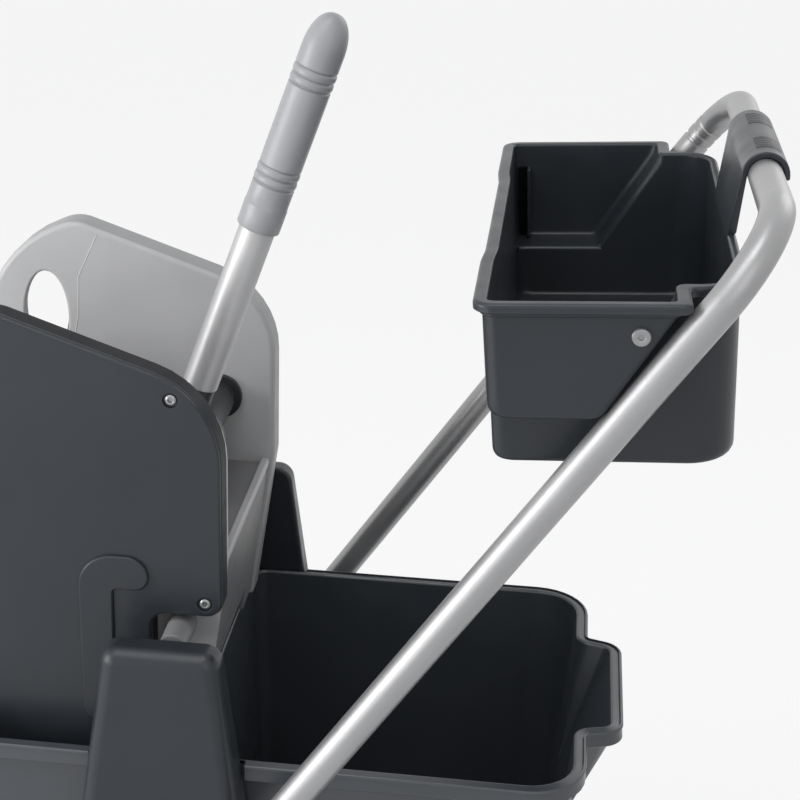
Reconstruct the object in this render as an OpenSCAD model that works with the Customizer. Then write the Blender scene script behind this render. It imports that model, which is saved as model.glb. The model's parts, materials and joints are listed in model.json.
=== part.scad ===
// Double mop bucket trolley: two buckets on a wheeled chassis, a lever wringer over the front one,
// two posts, a bent tube push handle and a basket hung on the handle.
// X runs along the trolley to the handle end, Y across it, Z up from the floor, in millimetres.

/* [Buckets] */
// Height of the bucket rims above the floor
rim_height = 440; // [432:1:450]
// Width over the bucket rim
bucket_width = 352; // [346:1:356]
// Length of the bucket rim without its pull lip
bucket_length = 331; // [324:1:338]
// Gap between the two bucket rims
bucket_gap = 5; // [4:0.5:7]
// Width of the flat rim
rim_flange = 11; // [10:0.5:12]
// Depth of the rim skirt
rim_drop = 14; // [11:1:17]
// Bucket wall thickness
bucket_wall = 3; // [2.5:0.25:3.5]
// How far the pull lip reaches past the rim
lip_reach = 30; // [24:1:34]
// Half width of the pull lip at its root
lip_half = 83; // [78:1:88]

/* [Chassis] */
// Height of the deck above the floor
deck_height = 150; // [146:1:156]
// Length of the chassis
chassis_length = 690; // [680:1:700]
// Width of the chassis
chassis_width = 396; // [390:1:402]
// Depth of the chassis skirt
skirt_depth = 36; // [33:1:38]
// Distance of the caster pivots from the middle, along the trolley
caster_x = 285; // [278:1:288]
// Distance of the caster pivots from the middle, across the trolley
caster_y = 148; // [145:1:150]

/* [Posts] */
// Height of the post tops above the bucket rims
post_rise = 100; // [92:1:106]
// Half length of the post top
post_half = 46; // [43:1:48]
// Thickness of the post top
post_thick = 27; // [25:1:30]
// Sideways flare of the post per millimetre of height
post_flare = 0.135; // [0.12:0.005:0.145]

/* [Handle] */
// Diameter of the handle tube
tube_d = 25; // [24:0.5:25.5]
// Wall of the handle tube
tube_wall = 1.5; // [1.2:0.1:2]
// Distance between the two handle legs
handle_spacing = 446; // [442:1:450]
// Angle of the legs above the level
handle_angle = 55.6; // [55:0.1:56.2]
// Distance of the leg axis from the middle at rim height
handle_x = 107; // [104:1:110]
// Height of the crossbar above the bucket rims
handle_rise = 472; // [466:1:478]
// Bend radius of the tube
bend_r = 65; // [58:1:70]

/* [Basket] */
// Inside height of the basket
basket_depth = 133; // [120:1:138]
// Length of the basket
basket_length = 176; // [170:1:180]
// Depth of the wings over the legs
wing_depth = 85; // [74:1:90]
// Basket wall thickness
basket_wall = 2.5; // [2:0.25:3]
// Slope of the basket
basket_tilt = 3; // [2.5:0.25:3.5]

/* [Wringer] */
// Distance between the inner faces of the side plates
wringer_width = 224; // [220:1:226]
// Depth of the side covers
cover_depth = 22; // [20:0.5:23]
// Side plate thickness
plate_thick = 6; // [5:0.5:7]
// Height of the press shaft above the rims
pivot_rise = 201; // [197:1:204]
// Diameter of the press shaft
shaft_d = 16; // [14:0.5:17]
// Length of the press jaw below the shaft
jaw_length = 178; // [170:1:180]
// Diameter of the tie bar
tie_d = 22; // [19:1:23]

/* [Lever] */
// Lean of the lever from upright
lever_lean = 18.3; // [17.5:0.1:19]
// Diameter of the lever tube
lever_d = 30; // [28:0.5:31]
// Diameter of the grip
grip_d = 35; // [33:0.5:37]
// Distance of the tube's lower end from the shaft
lever_start = 47; // [45:1:49]
// Distance of the grip's lower end from the shaft
grip_start = 199; // [192:1:204]
// Distance of the grip's top from the shaft
grip_end = 382; // [376:1:386]

/* [Casters] */
// Diameter of the wheels
wheel_d = 80; // [76:1:82]
// Width of the tyres
wheel_w = 24; // [22:1:26]
// Distance of the axle from the swivel axis
caster_trail = 32; // [28:1:34]
// Diameter of the axles
axle_d = 8; // [7:0.5:9]

/* [Hidden] */
$fn = 48;
// Radial running clearance
run = 0.05;
// Clearance between pieces that move apart
part_gap = 0.4;
// Clearance of pieces that are fixed together
fit_gap = 0.15;
// Clearance of a pin or tube that is pressed in
press_gap = 0.05;
// Overlap that cutting bodies reach past a face
cut = 1;

// Corner points replaced by arcs of the given radii
function unit(v) = v / norm(v);
function turn(d) = ((d + 540) % 360) - 180;
function corner(a, b, c, r, n) =
  let (u = unit(a - b), w = unit(c - b))
  let (half = acos(u * w) / 2)
  let (mid = b + unit(u + w) * r / sin(half))
  let (p = b + u * r / tan(half), q = b + w * r / tan(half))
  let (s = atan2(p[1] - mid[1], p[0] - mid[0]))
  let (d = turn(atan2(q[1] - mid[1], q[0] - mid[0]) - s))
  r <= 0 ? [b] : [for (i = [0:n]) mid + r * [cos(s + d * i / n), sin(s + d * i / n)]];
function rounded(pts, r, n = 6) =
  let (k = len(pts))
  [for (i = [0:k - 1]) each corner(pts[(i + k - 1) % k], pts[i], pts[(i + 1) % k], r[i], n)];
// Outline drawn in by d, with its corner radii following
function way(pts) =
  let (k = len(pts))
  sign([for (i = [0:k - 1]) cross(pts[i], pts[(i + 1) % k])] * [for (i = [0:k - 1]) 1]);
function bulge(pts, i) =
  let (k = len(pts))
  way(pts) * sign(cross(pts[i] - pts[(i + k - 1) % k], pts[(i + 1) % k] - pts[i]));
function drawn_in(pts, r, d) =
  let (k = len(pts))
  let (inner = [for (i = [0:k - 1])
    let (b = pts[i], u = unit(pts[(i + k - 1) % k] - b), w = unit(pts[(i + 1) % k] - b))
    b + unit(u + w) * bulge(pts, i) * d / sin(acos(u * w) / 2)])
  rounded(inner, [for (i = [0:k - 1]) r[i] > 0 ? max(r[i] - bulge(pts, i) * d, cut / 2) : 0]);
function box_outline(x0, x1, y0, y1, r0, r1) =
  rounded([[x0, y0], [x1, y0], [x1, y1], [x0, y1]], [r0, r1, r1, r0]);

// Profile in X and Z carried across Y
module across(pts, y0, y1) {
  translate([0, y1, 0])
    rotate([90, 0, 0])
      linear_extrude(y1 - y0)
        polygon(pts);
}

// Profile in Y and Z carried along X
module along(pts, x0, x1) {
  translate([x0, 0, 0])
    rotate([90, 0, 90])
      linear_extrude(x1 - x0)
        polygon(pts);
}

// Outline in X and Y carried up Z
module upright(pts, z0, z1) {
  translate([0, 0, z0])
    linear_extrude(z1 - z0)
      polygon(pts);
}

// Cylinder across Y
module rod(r, x, z, y0, y1) {
  translate([x, y1, z])
    rotate([90, 0, 0])
      cylinder(r = r, h = y1 - y0);
}

module box(x0, x1, y0, y1, z0, z1) {
  translate([x0, y0, z0])
    cube([x1 - x0, y1 - y0, z1 - z0]);
}

// Whole object set with its base centred on the origin; the basket's saddle is its far end
bar_x = handle_x + handle_rise / tan(handle_angle);
bar_z = rim_height + handle_rise;
rim_start = bucket_gap / 2;
rim_end = rim_start + bucket_length;
saddle_gap = 0.5;
saddle_thick = 4.5;
saddle_in = tube_d / 2 + saddle_gap;
saddle_out = saddle_in + saddle_thick;
front_end = -(rim_end + lip_reach);
back_end = bar_x + saddle_out;
frame_mid = (front_end + back_end) / 2;
module placed() {
  translate([-frame_mid, 0, 0])
    children();
}

// Buckets
rim_half = bucket_width / 2;
wall_in = rim_flange;
wall_out = rim_flange - bucket_wall;
rim_r_outer = 48;
rim_r_inner = 24;
draft_end = 22;
draft_post = 12;
draft_side = 16;
bucket_base = deck_height + part_gap;
lip_taper = 9;
lip_tip = lip_half - lip_taper;
lip_fall = 110;
lip_r = 20;
lip_root_r = 5;
least_r = 4;
slab = 0.5;
rim_cut_gap = 4;
rim_cut_x = post_half + post_flare * (post_rise + rim_drop) + rim_cut_gap;
rim_cut_half = rim_half - wall_out;

function lip_outline(i, back) = rounded(
  [[back, -lip_half + i], [rim_end, -lip_half + i], [rim_end + lip_reach - i, -lip_tip + i / 2],
   [rim_end + lip_reach - i, lip_tip - i / 2], [rim_end, lip_half - i], [back, lip_half - i]],
  [0, lip_root_r, lip_r - i, lip_r - i, lip_root_r, 0]);

// Thin slab of the bucket plan at one height, inset from the rim
module bucket_slab(i, e, p, s, z) {
  upright(box_outline(rim_start + i + p, rim_end - i - e, -rim_half + i + s, rim_half - i - s,
    max(rim_r_inner - i, least_r), rim_r_outer - i), z, z + slab);
}

module bucket_form(i, low, high) {
  f = (rim_height - low) / (rim_height - bucket_base);
  hull() {
    bucket_slab(i, 0, 0, 0, high - slab);
    bucket_slab(i, draft_end * f, draft_post * f, draft_side * f, low);
  }
}

module lip_form(i, low, high) {
  hull() {
    upright(lip_outline(i, rim_end - rim_flange - draft_end), high - slab, high);
    upright(box_outline(rim_end - rim_flange - draft_end, rim_end - rim_flange - draft_end / 2,
      -lip_tip + i, lip_tip - i, 0, 0), low, low + slab);
  }
}

module bucket() {
  difference() {
    union() {
      bucket_form(wall_out, bucket_base, rim_height);
      lip_form(wall_out, rim_height - lip_fall, rim_height);
      difference() {
        union() {
          upright(box_outline(rim_start, rim_end, -rim_half, rim_half, rim_r_inner, rim_r_outer),
            rim_height - rim_drop, rim_height);
          upright(lip_outline(0, rim_end - rim_flange), rim_height - rim_drop, rim_height);
        }
        for (s = [-1, 1])
          scale([1, s, 1])
            box(0, rim_cut_x, rim_cut_half, rim_half + cut, rim_height - rim_drop - cut, rim_height + cut);
      }
    }
    bucket_form(wall_in, bucket_base + bucket_wall, rim_height + cut);
    lip_form(wall_in, rim_height - lip_fall + bucket_wall, rim_height + cut);
  }
}

module rear_bucket() {
  color([0.2, 0.22, 0.24])
    placed()
      bucket();
}

module front_bucket() {
  color([0.2, 0.22, 0.24])
    placed()
      rotate([0, 0, 180])
        bucket();
}

// Posts with the inclined sockets of the handle legs
post_gap = 2;
post_in = rim_half - wall_out + post_gap;
post_out = post_in + post_thick;
post_top = rim_height + post_rise;
post_round = 10;
post_foot = post_half + post_flare * (post_top - deck_height);
handle_half = handle_spacing / 2;
socket_wall = 7.5;
socket_proud = 2;
socket_r = tube_d / 2 + socket_wall;
post_base_out = handle_half + socket_r - socket_proud;
socket_low = -235;
socket_high = -130;
socket_floor = -225;
post_wall = 4;
post_plinth = 60;
swell_out = 9;
swell_drop = 70;
plinth_r = 20;
swell_r = 60;

post_side = rounded(
  [[-post_foot, deck_height], [post_foot, deck_height], [post_half, post_top], [-post_half, post_top]],
  [0, 0, post_round, post_round]);
post_end = rounded(
  [[post_in, deck_height], [post_base_out, deck_height], [post_base_out, deck_height + post_plinth],
   [post_out + swell_out, rim_height - swell_drop], [post_out, post_top], [post_in, post_top]],
  [0, 0, plinth_r, swell_r, post_round, post_round]);
core_foot = post_foot - 2 * post_wall;
core_half = post_half - 2 * post_wall;
core_top = post_top - 3 * post_wall;
post_core = [[-core_foot, deck_height - cut], [core_foot, deck_height - cut],
  [core_half, core_top], [-core_half, core_top]];

// Children placed along the leg axis of the +Y side, X pointing up the tube
module on_leg(side) {
  translate([handle_x, side * handle_half, rim_height])
    rotate([0, -handle_angle, 0])
      children();
}

module leg_rod(side, r, from, to) {
  on_leg(side)
    translate([from, 0, 0])
      rotate([0, 90, 0])
        cylinder(r = r, h = to - from);
}

bolt_up = 8;
bolt_at = (socket_low + socket_high) / 2 + bolt_up;
bolt_r = 4;
bolt_head_r = 7;
bolt_head = 4;
post_screw_r = 2.5;
post_screw_x = 60;
post_screw_y = (post_in + post_base_out) / 2;
post_screw_head = 2.5;
screw_boss_r = 8;
screw_grip = 18;

module leg_bolt(side, grow) {
  on_leg(side)
    translate([bolt_at, 0, 0])
      scale([1, side, 1]) {
        rod(bolt_r + grow, 0, 0, -socket_r, socket_r + cut / 2);
        rod(bolt_head_r + grow, 0, 0, socket_r - grow, socket_r + bolt_head);
      }
}

module post(side) {
  difference() {
    union() {
      scale([1, side, 1])
        intersection() {
          across(post_side, post_in - cut, post_base_out + cut);
          along(post_end, -post_foot - cut, post_foot + cut);
        }
      leg_rod(side, socket_r, socket_low, socket_high);
    }
    scale([1, side, 1])
      across(post_core, post_in + post_wall, post_out - post_wall);
    leg_rod(side, tube_d / 2 + fit_gap, socket_floor, 0);
    leg_bolt(side, fit_gap);
    for (x = [-1, 1])
      translate([x * post_screw_x, side * post_screw_y, deck_height - cut])
        cylinder(r = post_screw_r + fit_gap, h = screw_grip + 2 * cut);
  }
}

module left_post() {
  color([0.2, 0.22, 0.24])
    placed()
      post(-1);
}

module right_post() {
  color([0.2, 0.22, 0.24])
    placed()
      post(1);
}

// Chassis base with deck, skirt, bucket guides and caster blocks
chassis_half = chassis_length / 2;
side_half = chassis_width / 2;
chassis_low = deck_height - skirt_depth;
deck_thick = 6;
skirt_wall = 4;
chassis_r = 50;
foot_margin = 6;
foot_r = 20;
guide_high = 18;
guide_thick = 6;
guide_gap = 3.5;
guide_in = rim_half - wall_out - draft_side + guide_gap;
guide_start = post_foot - 20;
guide_end = chassis_half - 40;
divider_half = 5;
block_half = 36;
deck_hole_x = [60, 250];
deck_hole_y = [20, 110];

function chassis_outline(i) = box_outline(-chassis_half + i, chassis_half - i,
  -side_half + i, side_half - i, chassis_r - i, chassis_r - i);
function wing_outline(i) = box_outline(-post_foot - foot_margin + i, post_foot + foot_margin - i,
  -post_base_out - foot_margin + i, post_base_out + foot_margin - i, foot_r - i, foot_r - i);

module at_casters() {
  for (x = [-1, 1])
    for (y = [-1, 1])
      translate([x * caster_x, y * caster_y, 0])
        children();
}

module post_screw_rods(r, z0, z1) {
  for (x = [-1, 1])
    for (y = [-1, 1])
      translate([x * post_screw_x, y * post_screw_y, z0])
        cylinder(r = r, h = z1 - z0);
}

module chassis_base() {
  color([0.17, 0.18, 0.2])
    placed()
      difference() {
        union() {
          difference() {
            union() {
              upright(chassis_outline(0), chassis_low, deck_height);
              upright(wing_outline(0), chassis_low, deck_height);
            }
            upright(chassis_outline(skirt_wall), chassis_low - cut, deck_height - deck_thick);
            upright(wing_outline(skirt_wall), chassis_low - cut, deck_height - deck_thick);
          }
          for (y = [-1, 1])
            scale([1, y, 1]) {
              box(guide_start, guide_end, guide_in, guide_in + guide_thick,
                chassis_low, deck_height + guide_high);
              box(-guide_end, -guide_start, guide_in, guide_in + guide_thick,
                chassis_low, deck_height + guide_high);
            }
          box(-divider_half, divider_half, -side_half + skirt_wall, side_half - skirt_wall,
            chassis_low, deck_height - deck_thick / 2);
          box(-divider_half, divider_half, -guide_in, guide_in,
            deck_height - deck_thick, deck_height + guide_high);
          at_casters()
            box(-block_half, block_half, -block_half, block_half, chassis_low, deck_height - deck_thick / 2);
          post_screw_rods(screw_boss_r, chassis_low, deck_height - deck_thick / 2);
        }
        for (x = [-1, 1])
          for (y = [-1, 1])
            scale([x, y, 1])
              box(deck_hole_x[0], deck_hole_x[1], deck_hole_y[0], deck_hole_y[1],
                deck_height - deck_thick - cut, deck_height + cut);
        post_screw_rods(post_screw_r + fit_gap, chassis_low - cut, deck_height + cut);
        at_casters() {
          translate([0, 0, chassis_low - cut])
            cylinder(r = king_r + fit_gap, h = king_sink + cut);
          plate_bolt_places()
            translate([0, 0, chassis_low - cut])
              cylinder(r = plate_bolt_r + fit_gap, h = plate_bolt_sink + cut);
        }
      }
}

module post_screws() {
  color([0.7, 0.71, 0.72])
    placed() {
      post_screw_rods(post_screw_r, chassis_low - post_screw_head / 2, deck_height + screw_grip);
      post_screw_rods(post_screw_r * 2, chassis_low - post_screw_head, chassis_low);
    }
}

// Bent tube handle
bar_reach = handle_rise / sin(handle_angle);
leg_end = bar_reach - bend_r;
bar_half = handle_half - bend_r;
groove_first = 15;
groove_pitch = 11;
groove_count = 3;
groove_r = 1.2;

module handle_run(r, from) {
  translate([handle_x, 0, rim_height])
    rotate([0, -handle_angle, 0]) {
      for (s = [-1, 1]) {
        translate([from, s * handle_half, 0])
          rotate([0, 90, 0])
            cylinder(r = r, h = leg_end - from);
        translate([leg_end, s * bar_half, 0])
          rotate([0, 0, s > 0 ? 0 : -90])
            rotate_extrude(angle = 90)
              translate([bend_r, 0])
                circle(r = r);
      }
      translate([bar_reach, -bar_half, 0])
        rotate([-90, 0, 0])
          cylinder(r = r, h = 2 * bar_half);
    }
}

module push_handle() {
  color([0.8, 0.81, 0.82])
    placed()
      difference() {
        handle_run(tube_d / 2, socket_floor + fit_gap);
        handle_run(tube_d / 2 - tube_wall, socket_floor - cut);
        for (k = [0:groove_count - 1])
          on_leg(1)
            translate([leg_end - groove_first - k * groove_pitch, 0, 0])
              rotate([0, 90, 0])
                rotate_extrude()
                  translate([tube_d / 2 + groove_r / 2, 0])
                    circle(r = groove_r, $fn = 24);
        for (s = [-1, 1])
          leg_bolt(s, fit_gap);
      }
}

module handle_bolts() {
  color([0.75, 0.76, 0.77])
    placed()
      for (s = [-1, 1])
        leg_bolt(s, 0);
}

// Basket hung on the crossbar, drawn with its rim level and then tilted
basket_clear = 6.5;
hang_drop = 46.5;
basket_right = bar_x - tube_d / 2 - basket_clear;
basket_rim = bar_z - hang_drop;
wing_over = 6;
wide_half = handle_half + wing_over;
neck_gap = 20.5;
neck_half = handle_half - tube_d / 2 - neck_gap;
basket_flange = 6;
end_flange = 3;
step_flange = 6.5;
step_clear = 0.6;
basket_lip = 7;
basket_low_x = 15;
basket_r = 12;
basket_corner_r = 16;
basket_end_r = 36;
wing_r = 12;
wing_proud = 0.8;
step_r = 8;
strap_half = 66;
strap_foot = 5.5;
strap_step = 2;
saddle_half = 72;
saddle_lip = 4;
hook_x = (bar_x - basket_right) * cos(basket_tilt) + (bar_z - basket_rim) * sin(basket_tilt);
hook_z = (bar_z - basket_rim) * cos(basket_tilt) - (bar_x - basket_right) * sin(basket_tilt);

// Upper face of a handle leg in the basket's own frame, with its clearance
leg_slope = handle_angle - basket_tilt;
function leg_face(z) = hook_x - (hook_z - z) / tan(leg_slope) - (tube_d / 2 + part_gap) / sin(leg_slope);
wing_front = leg_face(-wing_depth);
step_x = leg_face(-basket_lip) - step_flange - step_clear;

module hung() {
  translate([basket_right, 0, basket_rim])
    rotate([0, -basket_tilt, 0])
      children();
}

// Front wall line, and the side outlines of the narrow body and of the wings
function front_x(z) = -basket_length - basket_low_x * z / basket_depth;
function neck_profile(i, top) = drawn_in(
  [[front_x(top + i), top + i], [front_x(-basket_depth), -basket_depth], [0, -basket_depth], [0, top + i]],
  [0, basket_r, basket_r, 0], i);
function wing_profile(i, top) = drawn_in(
  [[front_x(top + i) - wing_proud, top + i], [front_x(-wing_depth) - wing_proud, -wing_depth],
   [wing_front, -wing_depth], [step_x, -basket_lip], [step_x, top + i]],
  [0, wing_r, wing_r, step_r, 0], i);

// The rounding of the corners at the crossbar clears the tube's bends when the basket is lifted
neck_end_r = basket_end_r - basket_flange;
wing_corner_r = basket_corner_r - basket_flange;

module basket_form(i, top) {
  neck = neck_half - i;
  wide = wide_half - i;
  intersection() {
    across(neck_profile(i, top), -neck, neck);
    upright(box_outline(-basket_length - cut + i, -i, -neck, neck, wing_corner_r - i, neck_end_r - i),
      -basket_depth - cut, top + cut);
  }
  intersection() {
    across(wing_profile(i, top), -wide, wide);
    upright(box_outline(-basket_length - 2 * cut + i, step_x + cut, -wide, wide, wing_corner_r - i, 0),
      -basket_depth - cut, top + cut);
  }
}

rim_front = -basket_length - basket_flange;
rim_step = step_x + step_flange;
rim_wide = wide_half + basket_flange;
rim_neck = neck_half + basket_flange;
rim_outline = rounded(
  [[rim_front, -rim_wide], [rim_step, -rim_wide], [rim_step, -rim_neck], [end_flange, -rim_neck],
   [end_flange, rim_neck], [rim_step, rim_neck], [rim_step, rim_wide], [rim_front, rim_wide]],
  [basket_corner_r, step_r, step_r, basket_end_r, basket_end_r, step_r, step_r, basket_corner_r]);

basket_bolt_x = -69;
basket_bolt_z = -24;
basket_bolt_r = 3;
basket_head_r = 6.5;
basket_head = 3;
hex_r = 2.2;
hex_deep = 2;

module basket() {
  color([0.19, 0.21, 0.23])
    placed()
      hung()
        difference() {
          union() {
            basket_form(0, 0);
            upright(rim_outline, -basket_lip, 0);
          }
          basket_form(basket_wall, cut);
          for (s = [-1, 1])
            scale([1, s, 1])
              rod(basket_bolt_r + fit_gap, basket_bolt_x, basket_bolt_z, neck_half, wide_half + cut);
        }
}

pad_places = [-38, 42];
pad_half = 17;
pad_reach = 9;
pad_deep = 2;
pad_gap = 0.1;
pad_turn = 12;

// Pads let into the top of the saddle
module saddle_pads(grow) {
  translate([hook_x, 0, hook_z])
    rotate([0, pad_turn, 0])
      for (y = pad_places)
        box(-pad_reach - grow, pad_reach + grow, y - pad_half - grow, y + pad_half + grow,
          saddle_out - pad_deep - grow, saddle_out + cut);
}

module basket_hook() {
  strap_left = hook_x - saddle_out;
  strap_right = hook_x - saddle_in;
  color([0.18, 0.2, 0.22])
    placed()
      hung()
        difference() {
          union() {
            difference() {
              rod(saddle_out, hook_x, hook_z, -saddle_half, saddle_half);
              box(hook_x - saddle_out - cut, hook_x + saddle_out + cut, -saddle_half - cut, saddle_half + cut,
                hook_z - saddle_out - cut, hook_z);
            }
            box(hook_x + saddle_in, hook_x + saddle_out, -saddle_half, saddle_half,
              hook_z - saddle_lip, hook_z + cut);
            across([[end_flange - cut - strap_foot, 0], [end_flange - cut, 0], [strap_right, hook_z],
              [strap_right, hook_z + strap_step], [strap_left, hook_z + strap_step], [strap_left, hook_z]],
              -strap_half, strap_half);
          }
          rod(saddle_in, hook_x, hook_z, -saddle_half - cut, saddle_half + cut);
          saddle_pads(pad_gap);
        }
}

module hook_pads() {
  color([0.12, 0.13, 0.14])
    placed()
      hung()
        intersection() {
          saddle_pads(0);
          rod(saddle_out, hook_x, hook_z, -saddle_half, saddle_half);
        }
}

module basket_bolts() {
  inside = wide_half - basket_wall;
  color([0.78, 0.79, 0.8])
    placed()
      hung()
        for (s = [-1, 1])
          scale([1, s, 1])
            difference() {
              union() {
                rod(basket_bolt_r, basket_bolt_x, basket_bolt_z, inside, wide_half + cut / 2);
                rod(basket_head_r, basket_bolt_x, basket_bolt_z, wide_half, wide_half + basket_head);
              }
              translate([basket_bolt_x, wide_half + basket_head + cut, basket_bolt_z])
                rotate([90, 0, 0])
                  cylinder(r = hex_r, h = hex_deep + cut, $fn = 6);
            }
}

// Wringer side plates and covers; profile heights count from the bucket rim
plate_in = wringer_width / 2;
plate_out = plate_in + plate_thick;
cover_out = plate_out + cover_depth;
pivot_x = -9.5;
pivot_z = rim_height + pivot_rise;
plate_left = -227;
plate_right = 42;
apex_x = -134;
apex_rise = 356;
shoulder_rise = 318;
corner_rise = 297.5;
taper_rise = 145;
foot_x = 20;
foot_rise = part_gap;
dip = 60;
dip_x = -150;
side_low = 30;
notch_gap = 1.5;
notch_x = -(rim_start + wall_in + draft_post * dip / (rim_height - bucket_base) + notch_gap);
tie_x = 4.5;
tie_rise = 95;
tie_z = rim_height + tie_rise;
tie_gap = 3;
tie_half = post_in - tie_gap - tie_d / 2;
tie_clear = 4;
cover_low = tie_rise + tie_d / 2 + tie_clear;
cover_edge = 1.5;
cover_wall = 3;
rail_x = -182;
rail_half = 8;
rail_high = 18;
rail_short = 1;

plate_points = [[plate_left, side_low], [plate_left, shoulder_rise], [apex_x, apex_rise],
  [plate_right, corner_rise], [plate_right, taper_rise], [foot_x, foot_rise], [notch_x, foot_rise],
  [notch_x, -dip], [dip_x, -dip]];
plate_radii = [20, 101, 25, 65, 30, 3, 2, 10, 20];
cover_points = [[plate_left, side_low], [plate_left, shoulder_rise], [apex_x, apex_rise],
  [plate_right, corner_rise], [plate_right, cover_low], [notch_x, cover_low], [notch_x, -dip], [dip_x, -dip]];
cover_radii = [20, 101, 25, 65, 15, 6, 10, 20];
function lift(pts) = [for (p = pts) [p[0], p[1] + rim_height]];
function plate_outline(i) = lift(drawn_in(plate_points, plate_radii, i));
function cover_outline(i) = lift(drawn_in(cover_points, cover_radii, i));

// Centres of the cover screws
screw_places = [[1, 294], [26, 122], [-196, 296], [-190, 60]];
hold_x = -174;
hold_rise = 266;
hold_w = 25;
hold_h = 42;
hold_margin = 2;
bush_r = 20.5;
bush_neck = 13;
bush_flange = 5;
bush_nose = 10;
bush_seat = 12;
cover_screw_r = 2;
cover_head_r = 4.5;
cover_sink = 2.5;
cover_head_gap = 1;
cover_head_low = 0.2;
screw_start = 2;
screw_post_r = 6;
far_lip = 4;
far_face = cover_out - 1;
far_thick = 6;
post_end_y = far_face - far_thick;

module cover_bores(side, r, y0, y1) {
  for (p = screw_places)
    scale([1, side, 1])
      rod(r, p[0], p[1] + rim_height, y0, y1);
}

// Oval hand hole
function hold_oval(grow) = [for (a = [0:12:348])
  [hold_x + (hold_w + grow) * cos(a), rim_height + hold_rise + (hold_h + grow) * sin(a)]];

module rail_form(grow, half) {
  box(rail_x - rail_half - grow, rail_x + rail_half + grow, -half, half,
    rim_height + part_gap - grow, rim_height + rail_high + grow);
}

module plate_cuts(side) {
  scale([1, side, 1]) {
    rod(bush_seat + fit_gap, pivot_x, pivot_z, plate_in - cut, plate_out + cut);
    across(hold_oval(0), plate_in - cut, cover_out + cut);
  }
  rod(tie_d / 2 + fit_gap, tie_x, tie_z, -cover_out, cover_out);
  rail_form(fit_gap, cover_out + cut);
}

module left_plate() {
  color([0.66, 0.67, 0.68])
    placed()
      difference() {
        union() {
          across(plate_outline(0), -plate_out, -plate_in);
          cover_bores(-1, screw_post_r, plate_out - cut, post_end_y - fit_gap);
        }
        plate_cuts(-1);
        cover_bores(-1, cover_screw_r + fit_gap, plate_in - cut, cover_out);
      }
}

module right_plate() {
  color([0.66, 0.67, 0.68])
    placed()
      difference() {
        union() {
          across(plate_outline(0), plate_in, plate_out);
          difference() {
            across(plate_outline(0), plate_out - cut, cover_out);
            across(plate_outline(far_lip), plate_out - 2 * cut, cover_out + cut);
          }
          cover_bores(1, screw_post_r, plate_out - cut, post_end_y - fit_gap);
        }
        plate_cuts(1);
        cover_bores(1, cover_screw_r + fit_gap, plate_in - cut, cover_out);
      }
}

// Raised cane shaped moulding on the near cover
cane_left = -76;
cane_r = 28;
cane_low = 9;
cane_rise = 130;
cane_high = 4;

module cane() {
  face = cover_out - cut;
  top = cover_out + cane_high;
  scale([1, -1, 1]) {
    box(cane_left, cane_left + cane_r, face, top, rim_height + cane_low, rim_height + cane_rise + cut);
    difference() {
      rod(cane_r, cane_left + cane_r, rim_height + cane_rise, face, top);
      box(cane_left - cut, cane_left + 3 * cane_r, face - cut, top + cut,
        rim_height + cane_rise - 2 * cane_r, rim_height + cane_rise);
    }
  }
}

module left_cover() {
  color([0.24, 0.26, 0.28])
    placed()
      difference() {
        union() {
          difference() {
            across(cover_outline(cover_edge), -cover_out, -plate_out);
            across(cover_outline(cover_edge + cover_wall), -cover_out + cover_wall, -plate_out + cut);
          }
          cover_bores(-1, screw_post_r, post_end_y, cover_out - cut);
          cane();
        }
        cover_bores(-1, cover_screw_r + fit_gap, plate_out, cover_out + cut);
        cover_bores(-1, cover_head_r + cover_head_gap, cover_out - cover_sink, cover_out + cut);
        cover_bores(-1, screw_post_r + fit_gap, plate_out - cut, post_end_y);
        rail_form(fit_gap, cover_out + cut);
        scale([1, -1, 1])
          across(hold_oval(hold_margin), plate_out - cut, cover_out + cut);
      }
}

module right_cover() {
  color([0.24, 0.26, 0.28])
    placed()
      difference() {
        across(plate_outline(far_lip + fit_gap), far_face - far_thick, far_face);
        cover_bores(1, cover_screw_r + fit_gap, plate_out, cover_out);
        cover_bores(1, cover_head_r + cover_head_gap, far_face - cover_sink, cover_out);
        rod(tie_d / 2 + fit_gap, tie_x, tie_z, plate_out, cover_out);
        rail_form(fit_gap, cover_out);
        across(hold_oval(hold_margin), plate_out, cover_out);
      }
}

module cover_screw_set(side, face) {
  cover_bores(side, cover_screw_r, plate_out + screw_start, face - cover_sink);
  cover_bores(side, cover_head_r, face - cover_sink, face - cover_head_low);
}

module cover_screws() {
  color([0.75, 0.76, 0.77])
    placed() {
      cover_screw_set(-1, cover_out);
      cover_screw_set(1, far_face);
    }
}

// Tie bar with domed ends, front rest rail and rear bridge between the plates
module tie_bar() {
  color([0.72, 0.73, 0.74])
    placed() {
      rod(tie_d / 2, tie_x, tie_z, -tie_half, tie_half);
      for (s = [-1, 1])
        intersection() {
          translate([tie_x, s * tie_half, tie_z])
            sphere(r = tie_d / 2);
          scale([1, s, 1])
            box(tie_x - tie_d, tie_x + tie_d, tie_half - cut / 2, tie_half + tie_d,
              tie_z - tie_d, tie_z + tie_d);
        }
    }
}

module rest_rail() {
  color([0.66, 0.67, 0.68])
    placed()
      rail_form(0, rim_half - rail_short);
}

bridge_left = -8;
bridge_right = 35;
bridge_rise = 138;
panel_foot = 15;
panel_low = 9;
panel_thick = 4;
bridge_lip = 3;
drain_half = 66;
drain_high = 22;

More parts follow.
